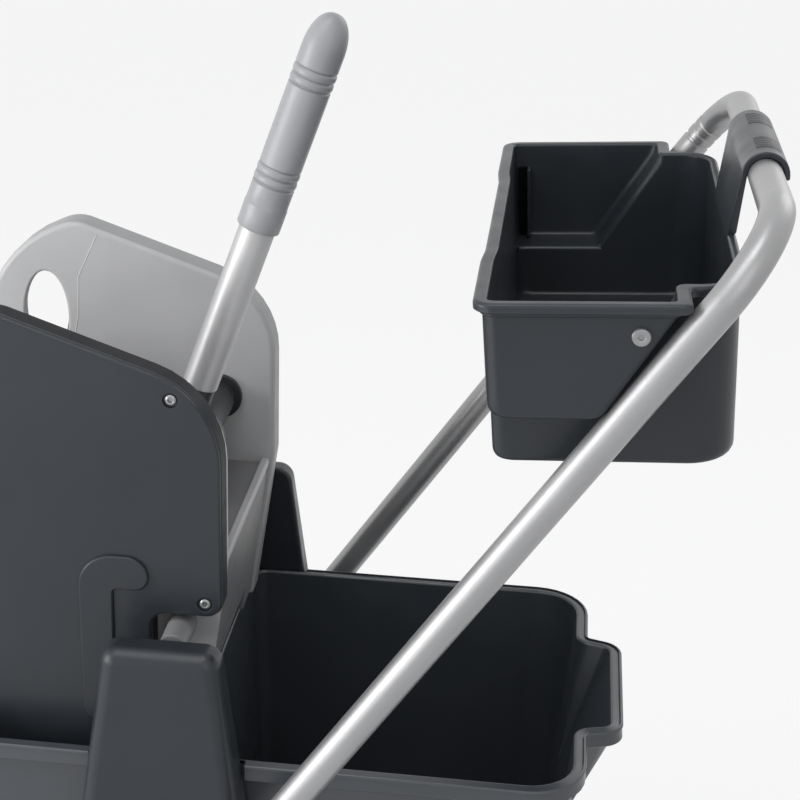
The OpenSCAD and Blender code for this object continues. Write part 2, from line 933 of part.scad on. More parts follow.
module rear_bridge() {
  top = rim_height + bridge_rise;
  low = rim_height + panel_low;
  color([0.66, 0.67, 0.68])
    placed()
      difference() {
        union() {
          box(bridge_left, bridge_right - panel_thick, -plate_in, plate_in, top - panel_thick, top);
          across([[bridge_right - panel_thick - cut, top + bridge_lip], [bridge_right, top + bridge_lip],
            [panel_foot + panel_thick, low], [panel_foot, low],
            [bridge_right - panel_thick - cut, top - panel_thick]], -plate_in, plate_in);
        }
        box(bridge_left, bridge_right, -drain_half, drain_half, low - cut, low + drain_high);
      }
}

// Slotted strainer: sloping wall and curved floor under the jaw
jaw_gap = 6;
floor_thick = 5;
jaw_back = 22;
jaw_thick = 8;
floor_r = norm([jaw_length, jaw_back]) + jaw_gap;
wall_x = -190;
wall_rise = 240;
wall_foot = -137;
slot_w = 9;
slot_pitch = 22;
slot_count = 4;
slot_end = 40;
slot_low = 25;
floor_slot_from = wall_foot + 12;
floor_slot_to = -30;
floor_to = 276;
arc_steps = 14;

function ring_arc(r, a0, a1, n) = [for (i = [0:n]) [pivot_x, pivot_z] + r * [cos(a0 + (a1 - a0) * i / n),
  sin(a0 + (a1 - a0) * i / n)]];

floor_a0 = 180 + acos((pivot_x - wall_foot) / floor_r);
wall_low = pivot_z - sqrt(floor_r * floor_r - (pivot_x - wall_foot) * (pivot_x - wall_foot));

module strainer() {
  arc_in = ring_arc(floor_r, floor_a0, floor_to, arc_steps);
  arc_out = ring_arc(floor_r + floor_thick, floor_to, floor_a0, arc_steps);
  wall_top = rim_height + wall_rise;
  color([0.66, 0.67, 0.68])
    placed()
      difference() {
        union() {
          across(concat(arc_in, arc_out), -plate_in, plate_in);
          across([[wall_x, wall_top], [wall_foot, wall_low], arc_out[arc_steps],
            [wall_x - floor_thick, wall_top]], -plate_in, plate_in);
        }
        for (k = [-slot_count:slot_count])
          translate([0, k * slot_pitch, 0]) {
            box(wall_x - slot_end, wall_foot - floor_thick, -slot_w / 2, slot_w / 2,
              wall_low + slot_low, wall_top - slot_end);
            box(floor_slot_from, floor_slot_to, -slot_w / 2, slot_w / 2,
              rim_height, wall_low + slot_low - floor_thick);
          }
      }
}

// Press shaft, its bushes and the return springs
spring_long = 10;
spring_wire = 2.5;
spring_in = shaft_d / 2 + 2.5;
shaft_half = plate_out + spring_long + 2;

module shaft_bushes() {
  color([0.2, 0.21, 0.22])
    placed()
      for (s = [-1, 1])
        scale([1, s, 1])
          difference() {
            union() {
              rod(bush_r, pivot_x, pivot_z, plate_in - bush_flange, plate_in);
              rod(bush_neck, pivot_x, pivot_z, plate_in - bush_nose, plate_in - bush_flange + cut / 2);
              rod(bush_seat, pivot_x, pivot_z, plate_in - cut / 2, plate_out);
            }
            rod(shaft_d / 2 + run, pivot_x, pivot_z, plate_in - bush_nose - cut, plate_out + cut);
          }
}

module return_springs() {
  color([0.55, 0.56, 0.57])
    placed()
      for (s = [-1, 1])
        scale([1, s, 1])
          difference() {
            rod(spring_in + spring_wire, pivot_x, pivot_z, plate_out, plate_out + spring_long);
            rod(spring_in, pivot_x, pivot_z, plate_out - cut, plate_out + spring_long + cut);
          }
}

module press_shaft() {
  color([0.75, 0.76, 0.77])
    placed()
      rod(shaft_d / 2, pivot_x, pivot_z, -shaft_half, shaft_half);
}

// Press jaw hung from the shaft, with a gap for the lever socket
jaw_half = plate_in - 7;
jaw_hub = 15;
hub_end = plate_in - bush_nose - 2;
hub_drop = 26;
web_in = 21;
socket_half = 17;
socket_gap = 0.3;
jaw_slot_end = 22;
jaw_slot_top = 12;

module press_jaw() {
  color([0.3, 0.32, 0.34])
    placed()
      translate([pivot_x, 0, pivot_z])
        difference() {
          union() {
            box(-jaw_back, -jaw_back + jaw_thick, -jaw_half, jaw_half, -jaw_length, 0);
            rod(jaw_hub, 0, 0, -hub_end, hub_end);
            for (s = [-1, 1])
              scale([1, s, 1])
                box(-jaw_back, 0, web_in, hub_end, -jaw_hub, 0);
          }
          rod(shaft_d / 2 + press_gap, 0, 0, -plate_in, plate_in);
          box(-jaw_back - cut, jaw_hub + cut, -socket_half - socket_gap, socket_half + socket_gap,
            -hub_drop, jaw_hub + cut);
          for (k = [-slot_count:slot_count])
            box(-jaw_back - cut, -jaw_back + jaw_thick + cut, k * slot_pitch - slot_w / 2,
              k * slot_pitch + slot_w / 2, -jaw_length + jaw_slot_end, -hub_drop - jaw_slot_top);
        }
}

// Lever: socket on the shaft, tube and ringed grip
lever_shift = 9.3;
lever_wall = 2;
hub_r = 23;
collar_step = 1;
seat_gap = 0.2;
spigot_r = lever_d / 2 - lever_wall - press_gap;
spigot_end = lever_start + 45;
grip_solid = 22;
tube_end = grip_end - grip_solid;

module on_lever() {
  translate([pivot_x, 0, pivot_z])
    rotate([0, lever_lean, 0])
      translate([-lever_shift, 0, 0])
        children();
}

module lever_socket() {
  color([0.16, 0.17, 0.18])
    placed()
      difference() {
        union() {
          rod(hub_r, pivot_x, pivot_z, -socket_half, socket_half);
          on_lever() {
            cylinder(r = lever_d / 2 - collar_step, h = lever_start - seat_gap);
            cylinder(r = spigot_r, h = spigot_end);
          }
        }
        rod(shaft_d / 2 + press_gap, pivot_x, pivot_z, -socket_half - cut, socket_half + cut);
      }
}

module lever_tube() {
  color([0.8, 0.81, 0.82])
    placed()
      on_lever()
        difference() {
          translate([0, 0, lever_start])
            cylinder(r = lever_d / 2, h = tube_end - lever_start);
          translate([0, 0, lever_start - cut])
            cylinder(r = lever_d / 2 - lever_wall, h = grip_end);
        }
}

ring_starts = [30, 139];
ring_count = 4;
ring_pitch = 5;
ring_deep = 0.8;
ring_half = 0.8;
grip_cap = 14;

module lever_grip() {
  r = grip_d / 2;
  color([0.6, 0.61, 0.62])
    placed()
      on_lever()
        translate([0, 0, grip_start])
          difference() {
            union() {
              cylinder(r = r, h = grip_end - grip_start - grip_cap);
              translate([0, 0, grip_end - grip_start - grip_cap])
                intersection() {
                  sphere(r = r);
                  translate([-r, -r, -cut / 2])
                    cube([2 * r, 2 * r, grip_cap + cut / 2]);
                }
            }
            translate([0, 0, -cut])
              cylinder(r = lever_d / 2 + press_gap, h = tube_end + fit_gap - grip_start + cut);
            for (s = ring_starts)
              for (k = [0:ring_count - 1])
                translate([0, 0, s + k * ring_pitch])
                  difference() {
                    cylinder(r = r + cut, h = 2 * ring_half, center = true);
                    cylinder(r = r - ring_deep, h = 3 * ring_half, center = true);
                  }
          }
}

// Casters: plate and kingpin on the chassis, fork that swivels, axle, hub and tyre
plate_t = 3;
plate_half = 30;
king_r = 5;
king_sink = 18;
plate_bolt_r = 3;
plate_bolt_sink = 14;
plate_bolt_at = 22;
plate_bolt_head = 3;
plate_bolt_head_r = 5.4;
king_end = 1;
king_head_r = 9;
fork_top = chassis_low - plate_t - part_gap;
fork_shoulder = chassis_low - plate_t - plate_bolt_head - 2 * part_gap;
fork_head_r = 22;
fork_head = 6;
king_seat = fork_top - fork_head - part_gap;
fork_t = 4;
fork_gap = 2;
fork_in = wheel_w / 2 + fork_gap;
wheel_r = wheel_d / 2;
axle_z = wheel_r;
king_head = 4;
fork_eye = 14;
tyre_deep = 11;
tyre_side = 2;
tyre_crown = 7;
tyre_edge = 3;
tyre_fall = 1.5;
tyre_bulge = 5;
hub_r_out = wheel_r - tyre_deep;
hub_end_gap = 1;
hub_rim = 5;
hub_recess = 6;
hub_boss = 3;
axle_head_r = axle_d * 0.8;
axle_head = 4;

module plate_bolt_places() {
  for (x = [-1, 1])
    for (y = [-1, 1])
      translate([x * plate_bolt_at, y * plate_bolt_at, 0])
        children();
}

module caster_plates() {
  color([0.72, 0.73, 0.74])
    placed()
      at_casters()
        translate([0, 0, chassis_low - plate_t])
          difference() {
            translate([-plate_half, -plate_half, 0])
              cube([2 * plate_half, 2 * plate_half, plate_t]);
            translate([0, 0, -cut])
              cylinder(r = king_r + fit_gap, h = plate_t + 2 * cut);
            plate_bolt_places()
              translate([0, 0, -cut])
                cylinder(r = plate_bolt_r + fit_gap, h = plate_t + 2 * cut);
          }
}

module plate_bolts() {
  color([0.75, 0.76, 0.77])
    placed()
      at_casters()
        plate_bolt_places() {
          translate([0, 0, chassis_low - plate_t - cut / 2])
            cylinder(r = plate_bolt_r, h = plate_bolt_sink + plate_t);
          translate([0, 0, chassis_low - plate_t - plate_bolt_head])
            cylinder(r = plate_bolt_head_r, h = plate_bolt_head, $fn = 6);
        }
}

module kingpins() {
  color([0.7, 0.71, 0.72])
    placed()
      at_casters() {
        translate([0, 0, king_seat - cut / 2])
          cylinder(r = king_r, h = chassis_low + king_sink - king_end - king_seat + cut / 2);
        translate([0, 0, king_seat - king_head])
          cylinder(r = king_head_r, h = king_head);
      }
}

fork_side = rounded(
  [[-fork_head_r, fork_shoulder], [fork_head_r, fork_shoulder], [caster_trail + fork_eye, axle_z],
   [caster_trail, axle_z - fork_eye], [caster_trail - fork_eye, axle_z]],
  [4, 10, 12, 8, 12]);

module fork_at(fx, fy) {
  color([0.72, 0.73, 0.74])
    placed()
      translate([fx * caster_x, fy * caster_y, 0])
        difference() {
          union() {
            translate([0, 0, fork_top - fork_head])
              cylinder(r = fork_head_r, h = fork_head);
            for (s = [-1, 1])
              scale([1, s, 1])
                across(fork_side, fork_in, fork_in + fork_t);
          }
          translate([0, 0, fork_top - fork_head - cut])
            cylinder(r = king_r + run, h = fork_head + 2 * cut);
          rod(axle_d / 2 + press_gap, caster_trail, axle_z, -fork_in - fork_t - cut, fork_in + fork_t + cut);
        }
}

module axle_at(fx, fy) {
  outer = fork_in + fork_t;
  color([0.75, 0.76, 0.77])
    placed()
      translate([fx * caster_x, fy * caster_y, 0]) {
        rod(axle_d / 2, caster_trail, axle_z, -outer - cut / 2, outer + cut / 2);
        rod(axle_head_r, caster_trail, axle_z, outer, outer + axle_head);
        rod(axle_head_r, caster_trail, axle_z, -outer - axle_head, -outer);
      }
}

module hub_at(fx, fy) {
  side = wheel_w / 2;
  color([0.5, 0.51, 0.52])
    placed()
      translate([fx * caster_x + caster_trail, fy * caster_y, 0])
        difference() {
          union() {
            rod(hub_r_out, 0, axle_z, -side + tyre_side, side - tyre_side);
            rod(axle_d, 0, axle_z, -side - hub_end_gap, side + hub_end_gap);
          }
          for (s = [-1, 1])
            scale([1, s, 1])
              difference() {
                rod(hub_r_out - hub_rim, 0, axle_z, side - hub_recess, side);
                rod(axle_d + hub_boss, 0, axle_z, side - hub_recess - cut, side + cut);
              }
          rod(axle_d / 2 + run, 0, axle_z, -wheel_w, wheel_w);
        }
}

module tyre_at(fx, fy) {
  side = wheel_w / 2;
  half = [[hub_r_out, side - tyre_side], [wheel_r - tyre_bulge, side],
    [wheel_r - tyre_fall, side - tyre_edge], [wheel_r, side - tyre_crown]];
  color([0.33, 0.34, 0.35])
    placed()
      translate([fx * caster_x + caster_trail, fy * caster_y, axle_z])
        rotate([90, 0, 0])
          rotate_extrude()
            polygon(concat(half, [for (i = [3:-1:0]) [half[i][0], -half[i][1]]]));
}

module fork_fl() { fork_at(-1, -1); }
module fork_fr() { fork_at(-1, 1); }
module fork_rl() { fork_at(1, -1); }
module fork_rr() { fork_at(1, 1); }
module axle_fl() { axle_at(-1, -1); }
module axle_fr() { axle_at(-1, 1); }
module axle_rl() { axle_at(1, -1); }
module axle_rr() { axle_at(1, 1); }
module hub_fl() { hub_at(-1, -1); }
module hub_fr() { hub_at(-1, 1); }
module hub_rl() { hub_at(1, -1); }
module hub_rr() { hub_at(1, 1); }
module tyre_fl() { tyre_at(-1, -1); }
module tyre_fr() { tyre_at(-1, 1); }
module tyre_rl() { tyre_at(1, -1); }
module tyre_rr() { tyre_at(1, 1); }

chassis_base();
left_post();
right_post();
post_screws();
push_handle();
handle_bolts();
caster_plates();
plate_bolts();
kingpins();
fork_fl();
fork_fr();
fork_rl();
fork_rr();
axle_fl();
axle_fr();
axle_rl();
axle_rr();
hub_fl();
hub_fr();
hub_rl();
hub_rr();
tyre_fl();
tyre_fr();
tyre_rl();
tyre_rr();
front_bucket();
rear_bucket();
left_plate();
right_plate();
left_cover();
right_cover();
cover_screws();
tie_bar();
rest_rail();
rear_bridge();
strainer();
shaft_bushes();
return_springs();
press_shaft();
press_jaw();
lever_socket();
lever_tube();
lever_grip();
basket();
basket_hook();
hook_pads();
basket_bolts();
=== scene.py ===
import json
import math

import bmesh
import bpy
from mathutils import Matrix, Vector


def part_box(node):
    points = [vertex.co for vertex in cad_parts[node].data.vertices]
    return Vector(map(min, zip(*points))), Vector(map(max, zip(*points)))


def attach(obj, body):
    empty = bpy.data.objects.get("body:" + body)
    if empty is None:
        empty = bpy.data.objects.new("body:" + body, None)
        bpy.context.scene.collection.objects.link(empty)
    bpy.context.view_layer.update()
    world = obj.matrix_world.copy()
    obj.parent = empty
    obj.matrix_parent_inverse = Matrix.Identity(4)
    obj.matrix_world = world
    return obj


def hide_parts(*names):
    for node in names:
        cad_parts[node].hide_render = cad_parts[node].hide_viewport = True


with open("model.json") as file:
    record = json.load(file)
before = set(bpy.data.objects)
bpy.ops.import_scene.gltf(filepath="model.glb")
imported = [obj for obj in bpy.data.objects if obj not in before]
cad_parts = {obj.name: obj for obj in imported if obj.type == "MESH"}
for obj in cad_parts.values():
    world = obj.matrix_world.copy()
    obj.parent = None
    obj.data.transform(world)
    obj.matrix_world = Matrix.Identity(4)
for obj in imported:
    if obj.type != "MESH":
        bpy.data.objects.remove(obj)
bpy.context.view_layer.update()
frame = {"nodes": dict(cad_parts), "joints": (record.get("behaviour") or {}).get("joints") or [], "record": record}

scene = bpy.context.scene
mm = 0.001
slotOf = {part["node"]: part["material_slot"] for part in frame["record"]["subparts"]}
bodyOf = {node: body for body, nodes in frame["record"]["behaviour"]["bodies"].items() for node in nodes}
print("frame loaded:", len(frame["nodes"]), "nodes,", len(bodyOf), "placed on bodies")

# sizes that several pieces share: the legs slope from level, the lever leans from upright
sharedSet = {"tube": 25, "legSlope": 55.6, "leverLean": 19.45}
tubeHalf = sharedSet["tube"] / 2 * mm
legSlope = math.radians(sharedSet["legSlope"])
leverLean = math.radians(sharedSet["leverLean"])

# places that several pieces share, read from the frame
postLow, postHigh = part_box("left_post")
bucketLow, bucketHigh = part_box("rear_bucket")
midX = (postLow.x + postHigh.x) / 2
rimZ = bucketHigh.z
barX, handleHalf, barZ = (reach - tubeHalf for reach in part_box("push_handle")[1])
legUp = Vector((math.cos(legSlope), 0, math.sin(legSlope)))
pivot = Vector(next(joint["pos_m"] for joint in frame["joints"] if joint["name"] == "lever_press"))
rimPlace = Matrix.Translation((midX, 0, rimZ)) @ Matrix.Scale(mm, 4)  # millimetres, heights from the rims


# finishes: each pattern is a scale and a detail, and depths are in millimetres

plasticSet = {"cloud": (7, 4), "shades": (0.93, 1.07), "edge": (0.53, 0.62), "scuff": (26, 6),
              "scuffDraw": (1, 1, 0.25), "scuffShare": (0.15, 0.9, 0.35, 0.65), "patch": (40, 5),
              "roughSpread": (0.05, 0.06), "grainDetail": 3, "deep": 0.15}
metalSet = {"cloud": (9, 3), "shades": (0.92, 1.06), "line": (90, 4), "roughSpread": (0.04, 0.06),
            "grain": (1600, 2), "deep": 0.06}
rubberSet = {"dust": (60, 5), "dustShare": (0.45, 0.75), "paleTimes": 1.5, "palePlus": 0.01,
             "roughSpread": (0.08, 0.08), "grain": (700, 4), "bump": 0.35, "deep": 0.2, "specular": 0.35}


def newFinish(name):
    finish = bpy.data.materials.new(name)
    finish.use_nodes = True
    tree = finish.node_tree
    shader = tree.nodes["Principled BSDF"]
    coords = tree.nodes.new("ShaderNodeTexCoord")
    return finish, tree, shader, coords.outputs["Object"]


def noiseOn(tree, coords, scale, detail, stretch=None, lean=0):
    if stretch:  # long streaks: the pattern is squeezed across and drawn out along
        mapping = tree.nodes.new("ShaderNodeMapping")
        mapping.inputs["Scale"].default_value = stretch
        mapping.inputs["Rotation"].default_value = (0, lean, 0)
        tree.links.new(coords, mapping.inputs["Vector"])
        coords = mapping.outputs["Vector"]
    noise = tree.nodes.new("ShaderNodeTexNoise")
    noise.inputs["Scale"].default_value = scale
    noise.inputs["Detail"].default_value = detail
    tree.links.new(coords, noise.inputs["Vector"])
    return noise.outputs["Fac"]


def between(tree, fac, low, high, start=0.3, end=0.7):
    spread = tree.nodes.new("ShaderNodeMapRange")
    for name, value in (("From Min", start), ("From Max", end), ("To Min", low), ("To Max", high)):
        spread.inputs[name].default_value = value
    tree.links.new(fac, spread.inputs["Value"])
    return spread.outputs["Result"]


def joinMath(tree, operation, first, second):
    step = tree.nodes.new("ShaderNodeMath")
    step.operation = operation
    tree.links.new(first, step.inputs[0])
    tree.links.new(second, step.inputs[1])
    return step.outputs["Value"]


def mixColours(tree, fac, first, second):
    mix = tree.nodes.new("ShaderNodeMix")
    mix.data_type = "RGBA"
    tree.links.new(fac, mix.inputs["Factor"])
    for socket, value in ((mix.inputs["A"], first), (mix.inputs["B"], second)):
        if isinstance(value, bpy.types.NodeSocket):
            tree.links.new(value, socket)
        else:
            socket.default_value = (*value, 1)
    return mix.outputs["Result"]


def cloudyColour(tree, coords, colour, v):
    cloud = noiseOn(tree, coords, *v["cloud"])
    dark, light = ([min(1, c * shade) for c in colour] for shade in v["shades"])
    return mixColours(tree, between(tree, cloud, 0, 1), dark, light)


def patchyRough(tree, shader, fac, rough, v):
    less, more = v["roughSpread"]
    tree.links.new(between(tree, fac, rough - less, rough + more), shader.inputs["Roughness"])


def bumpFrom(tree, shader, height, strength, deep):
    bump = tree.nodes.new("ShaderNodeBump")
    bump.inputs["Strength"].default_value = strength
    bump.inputs["Distance"].default_value = deep * mm
    tree.links.new(height, bump.inputs["Height"])
    tree.links.new(bump.outputs["Normal"], shader.inputs["Normal"])


def mouldedPlastic(name, colour, rubbed, rough, grain=1300, bump=0.1, specular=0.45):
    v = plasticSet
    finish, tree, shader, coords = newFinish(name)
    base = cloudyColour(tree, coords, colour, v)
    edges = tree.nodes.new("ShaderNodeNewGeometry").outputs["Pointiness"]
    scuffs = noiseOn(tree, coords, *v["scuff"], v["scuffDraw"])
    worn = joinMath(tree, "MULTIPLY", between(tree, edges, 0, 1, *v["edge"]),
                    between(tree, scuffs, *v["scuffShare"]))
    tree.links.new(mixColours(tree, worn, base, rubbed), shader.inputs["Base Color"])
    patchyRough(tree, shader, noiseOn(tree, coords, *v["patch"]), rough, v)
    bumpFrom(tree, shader, noiseOn(tree, coords, grain, v["grainDetail"]), bump, v["deep"])
    shader.inputs["Specular IOR Level"].default_value = specular
    return finish


def satinMetal(name, colour, rough, bump=0.06, streak=(6, 6, 0.3), lean=0, metallic=0.65):
    v = metalSet
    finish, tree, shader, coords = newFinish(name)
    tree.links.new(cloudyColour(tree, coords, colour, v), shader.inputs["Base Color"])
    patchyRough(tree, shader, noiseOn(tree, coords, *v["line"], streak, lean), rough, v)
    bumpFrom(tree, shader, noiseOn(tree, coords, *v["grain"]), bump, v["deep"])
    shader.inputs["Metallic"].default_value = metallic
    return finish


def rubberTread(name, colour, rough):
    v = rubberSet
    finish, tree, shader, coords = newFinish(name)
    dust = noiseOn(tree, coords, *v["dust"])
    pale = [c * v["paleTimes"] + v["palePlus"] for c in colour]
    dusty = mixColours(tree, between(tree, dust, 0, 1, *v["dustShare"]), colour, pale)
    tree.links.new(dusty, shader.inputs["Base Color"])
    patchyRough(tree, shader, dust, rough, v)
    bumpFrom(tree, shader, noiseOn(tree, coords, *v["grain"]), v["bump"], v["deep"])
    shader.inputs["Specular IOR Level"].default_value = v["specular"]
    return finish


# plastics have their colour, the colour of rubbed edges and their roughness
finishes = {
    "dark_plastic": mouldedPlastic("slatePlastic", (0.026, 0.0302, 0.0362), (0.08, 0.085, 0.09), 0.34,
        grain=1500, bump=0.12, specular=0.36),
    "light_plastic": mouldedPlastic("paleGreyPlastic", (0.46, 0.46, 0.465), (0.55, 0.55, 0.55), 0.36),
    "black_plastic": mouldedPlastic("blackPlastic", (0.02, 0.021, 0.024), (0.05, 0.05, 0.055), 0.4,
        bump=0.12),
    "tub_plastic": mouldedPlastic("tubPlastic", (0.04, 0.046, 0.055), (0.08, 0.085, 0.09), 0.34,
        grain=1500, bump=0.12, specular=0.7),
    # the band plastic is a darker, duller copy of the slate plastic: painted shade on the near cover's top band
    "band_painted_shade_plastic": mouldedPlastic("bandPaintedShadePlastic", (0.02, 0.021, 0.024), (0.03, 0.03, 0.035), 0.5,
        bump=0.12, specular=0.08),
    # the slot plastic is near black: painted shade deep in the basket's slots
    "slot_painted_shade_plastic": mouldedPlastic("slotPaintedShadePlastic", (0.004, 0.004, 0.005), (0.006, 0.006, 0.006), 0.8,
        specular=0.05),
    # the flange plastic is a darker copy of the pale grey: painted shade on the far plate's flange band
    "flange_painted_shade_plastic": mouldedPlastic("flangePaintedShadePlastic", (0.34, 0.34, 0.345), (0.4, 0.4, 0.4), 0.4,
        specular=0.3),
    "grip_plastic": mouldedPlastic("gripPlastic", (0.345, 0.35, 0.365), (0.42, 0.42, 0.43), 0.34,
        grain=1200),
    # the mid-grey plastic is a darker copy of the pale grey: painted shade on the rear bridge and tie rod
    "painted_shade_plastic": mouldedPlastic("paintedShadeGreyPlastic", (0.22, 0.22, 0.225), (0.3, 0.3, 0.3), 0.4,
        specular=0.4),
    "aluminium": satinMetal("satinAluminium", (0.37, 0.37, 0.375), 0.36, lean=legSlope),
    # the lever's aluminium is a lighter copy: painted light that brightens the tube where it reflects the dark
    # cover
    "lever_painted_light_aluminium": satinMetal("leverPaintedLightAluminium", (0.52, 0.52, 0.525), 0.42, lean=leverLean, metallic=0.5),
    "steel": satinMetal("zincSteel", (0.3, 0.305, 0.31), 0.3, bump=0.12, streak=(3, 3, 3)),
    "tyre": rubberTread("greyRubber", (0.055, 0.055, 0.058), 0.7),
}
print("finishes made:", len(finishes))


# modelling helpers

def addObject(name, data):
    added = bpy.data.objects.new(name, data)
    scene.collection.objects.link(added)
    return added


def endPiece(name, bm, node, angle=38, weighted=True, finish=None, inPlace=True, weld=2e-6):
    # a finished piece rides its node's body and is shown in the node's place
    bmesh.ops.remove_doubles(bm, verts=bm.verts, dist=weld)
    mesh = bpy.data.meshes.new(name)
    bm.to_mesh(mesh)
    bm.free()
    if mesh.has_custom_normals:  # a copied node brings its old normals along
        mesh.attributes.remove(mesh.attributes["custom_normal"])
    mesh.shade_smooth()
    mesh.set_sharp_from_angle(angle=math.radians(angle))
    mesh.materials.append(finishes[finish or slotOf[node]])
    piece = addObject(name, mesh)
    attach(piece, bodyOf[node])
    if inPlace:
        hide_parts(node)
    if weighted:  # flat faces stay flat beside their rounded edges
        normals = piece.modifiers.new("flatFaces", "WEIGHTED_NORMAL")
        normals.keep_sharp = True
    return piece


def vertsIn(geom):
    return [g for g in geom if isinstance(g, bmesh.types.BMVert)]


def edgesIn(geom):
    return [g for g in geom if isinstance(g, bmesh.types.BMEdge)]


def sharpEdges(bm, limit):
    return [e for e in bm.edges if len(e.link_faces) == 2 and e.calc_face_angle(0) > math.radians(limit)]


def bevelEdges(bm, edges, width, segments=3):
    bmesh.ops.bevel(bm, geom=edges, offset=width, offset_type="OFFSET", affect="EDGES", segments=segments,
                    profile=0.5, material=-1, clamp_overlap=False, loop_slide=True)


def addTo(bm, other):
    # puts a finished small mesh into the piece's mesh
    mesh = bpy.data.meshes.new("joined")
    other.to_mesh(mesh)
    other.free()
    bm.from_mesh(mesh)
    bpy.data.meshes.remove(mesh)


def roundedLine(points, radii, steps=8, straight=89.5, run=4):
    # an outline whose corners are arcs, always with the same count of points
    line = []
    for i, point in enumerate(points):
        here = Vector(point)
        back = (Vector(points[i - 1]) - here).normalized()
        onward = (Vector(points[(i + 1) % len(points)]) - here).normalized()
        half = back.angle(onward) / 2
        if half > math.radians(straight):  # a straight run keeps its points close together
            line += [here + onward * (k / steps - 0.5) * run for k in range(steps + 1)]
            continue
        middle = here + (back + onward).normalized() * radii[i] / math.sin(half)
        first = here + back * radii[i] / math.tan(half) - middle
        last = here + onward * radii[i] / math.tan(half) - middle
        sweep = math.atan2(first.cross(last), first.dot(last))
        line += [middle + Matrix.Rotation(sweep * k / steps, 2) @ first for k in range(steps + 1)]
    return line


def insetCorners(points, radii, by, least=0.5):
    # every side moves inward: outer corners tighten and hollow ones open up
    moved, rounds = [], []
    for i, point in enumerate(points):
        here = Vector(point)
        back = (here - Vector(points[i - 1])).normalized()
        onward = (Vector(points[(i + 1) % len(points)]) - here).normalized()
        sides = Vector((-back.y, back.x)), Vector((-onward.y, onward.x))
        moved.append(here + (sides[0] + sides[1]) * by / (1 + sides[0].dot(sides[1])))
        rounds.append(max(least, radii[i] - by if back.cross(onward) > 0 else radii[i] + by))
    return moved, rounds


def skinLoops(bm, loops):
    # one skin over closed loops of equal count; gives the edges of its two open ends
    ring = [bm.verts.new(place) for place in loops[0]]
    first = edges = [bm.edges.new((ring[i - 1], ring[i])) for i in range(len(ring))]
    for loop in loops[1:]:
        fresh = set(vertsIn(bmesh.ops.extrude_edge_only(bm, edges=edges)["geom"]))
        ring = [next(e.other_vert(p) for e in p.link_edges if e.other_vert(p) in fresh) for p in ring]
        for vert, place in zip(ring, loop):
            vert.co = place
        edges = [bm.edges.get((ring[i - 1], ring[i])) for i in range(len(ring))]
    return first, edges


def loftLoops(bm, loops):
    for ends in skinLoops(bm, loops):
        bmesh.ops.edgeloop_fill(bm, edges=ends)


def blindSeat(bm, loops):
    rim, floor = skinLoops(bm, loops)
    bmesh.ops.edgeloop_fill(bm, edges=floor)
    return rim


def holedSheet(bm, skins, seats=()):
    # flat faces close both ends of an outer skin and of its holes; blind seats open in the first
    ends = [skinLoops(bm, loops) for loops in skins]
    rims = [blindSeat(bm, loops) for loops in seats]
    for sides in (rims + [first for first, last in ends], [last for first, last in ends]):
        edges = [e for side in sides for e in side]
        bmesh.ops.triangle_fill(bm, edges=edges, use_beauty=True, normal=(0, 1, 0))


def moveTo(bm, place):
    bmesh.ops.transform(bm, matrix=place, verts=bm.verts)
    return bm


def closeUp(bm, place, weld=0.005):
    bmesh.ops.remove_doubles(bm, verts=bm.verts, dist=weld)
    bmesh.ops.recalc_face_normals(bm, faces=bm.faces)
    return moveTo(bm, place)


def quarter(radius, steps=5):
    # inset and depth along a quarter circle, from its flat end to its upright end
    turns = [math.pi / 2 * k / steps for k in range(steps + 1)]
    return [(radius * (1 - math.sin(t)), radius * (1 - math.cos(t))) for t in turns]


def softEdge(wide, middle):
    # inset and depth at three points of a small rounding, from its upright end to its flat end
    return [(0, wide), (middle, middle), (wide, 0)]


def roundIn(radius, rise):
    # how far a rounded edge stands in at a height above its flat
    return radius - math.sqrt(max(0, radius * radius - max(0, radius - rise) ** 2))


def block(size, at, edge=0, segments=3):
    bm = bmesh.new()
    bmesh.ops.create_cube(bm, size=1)
    bmesh.ops.scale(bm, vec=size, verts=bm.verts)
    if edge:
        bevelEdges(bm, list(bm.edges), edge, segments)
    bmesh.ops.translate(bm, vec=at, verts=bm.verts)
    return bm


def lathe(points, place, steps=48, closed=False, weld=1e-6):
    # points are radius and height; the axis is turned into place afterwards
    bm = bmesh.new()
    verts = [bm.verts.new((r, 0, h)) for r, h in points]
    ends = verts[1:] + verts[:1] if closed else verts[1:]
    edges = [bm.edges.new(pair) for pair in zip(verts, ends)]
    bmesh.ops.spin(bm, geom=verts + edges, cent=(0, 0, 0), axis=(0, 0, 1), angle=math.tau,
                   steps=steps, use_merge=True)
    return closeUp(bm, place, weld)


def screwHead(profile, reach, place, pole=0.01):
    # a turned head whose innermost rings become a hexagon
    bm = lathe(profile, Matrix.Identity(4))
    for vert in bm.verts:
        far = math.hypot(vert.co.x, vert.co.y)
        if pole < far < reach:
            turn = math.atan2(vert.co.y, vert.co.x) % (math.pi / 3) - math.pi / 6
            factor = math.cos(math.pi / 6) / math.cos(turn)
            vert.co.x, vert.co.y = vert.co.x * factor, vert.co.y * factor
    return moveTo(bm, place)


# buckets: a flat rim that follows the pull lip, and a drafted tub under it

bucketSet = {"length": 331, "half": 176, "gap": 5, "flange": 11, "drop": 14, "wall": 3, "postCorner": 24,
             "endCorner": 48, "lipReach": 30, "lipHalf": 83, "lipTip": 74, "lipRound": 20, "lipRoot": 5,
             "lipFall": 110, "lipClose": 0.75, "draftEnd": 22, "draftPost": 12, "draftSide": 16,
             "floorRound": 12, "skirtEdge": 0.8, "rimRound": 2.4, "rimInner": 2.8, "cutX": 64, "cutRun": 1.5,
             "cutHalf": 168.6, "cutSlack": 0.1, "weld": 0.01}


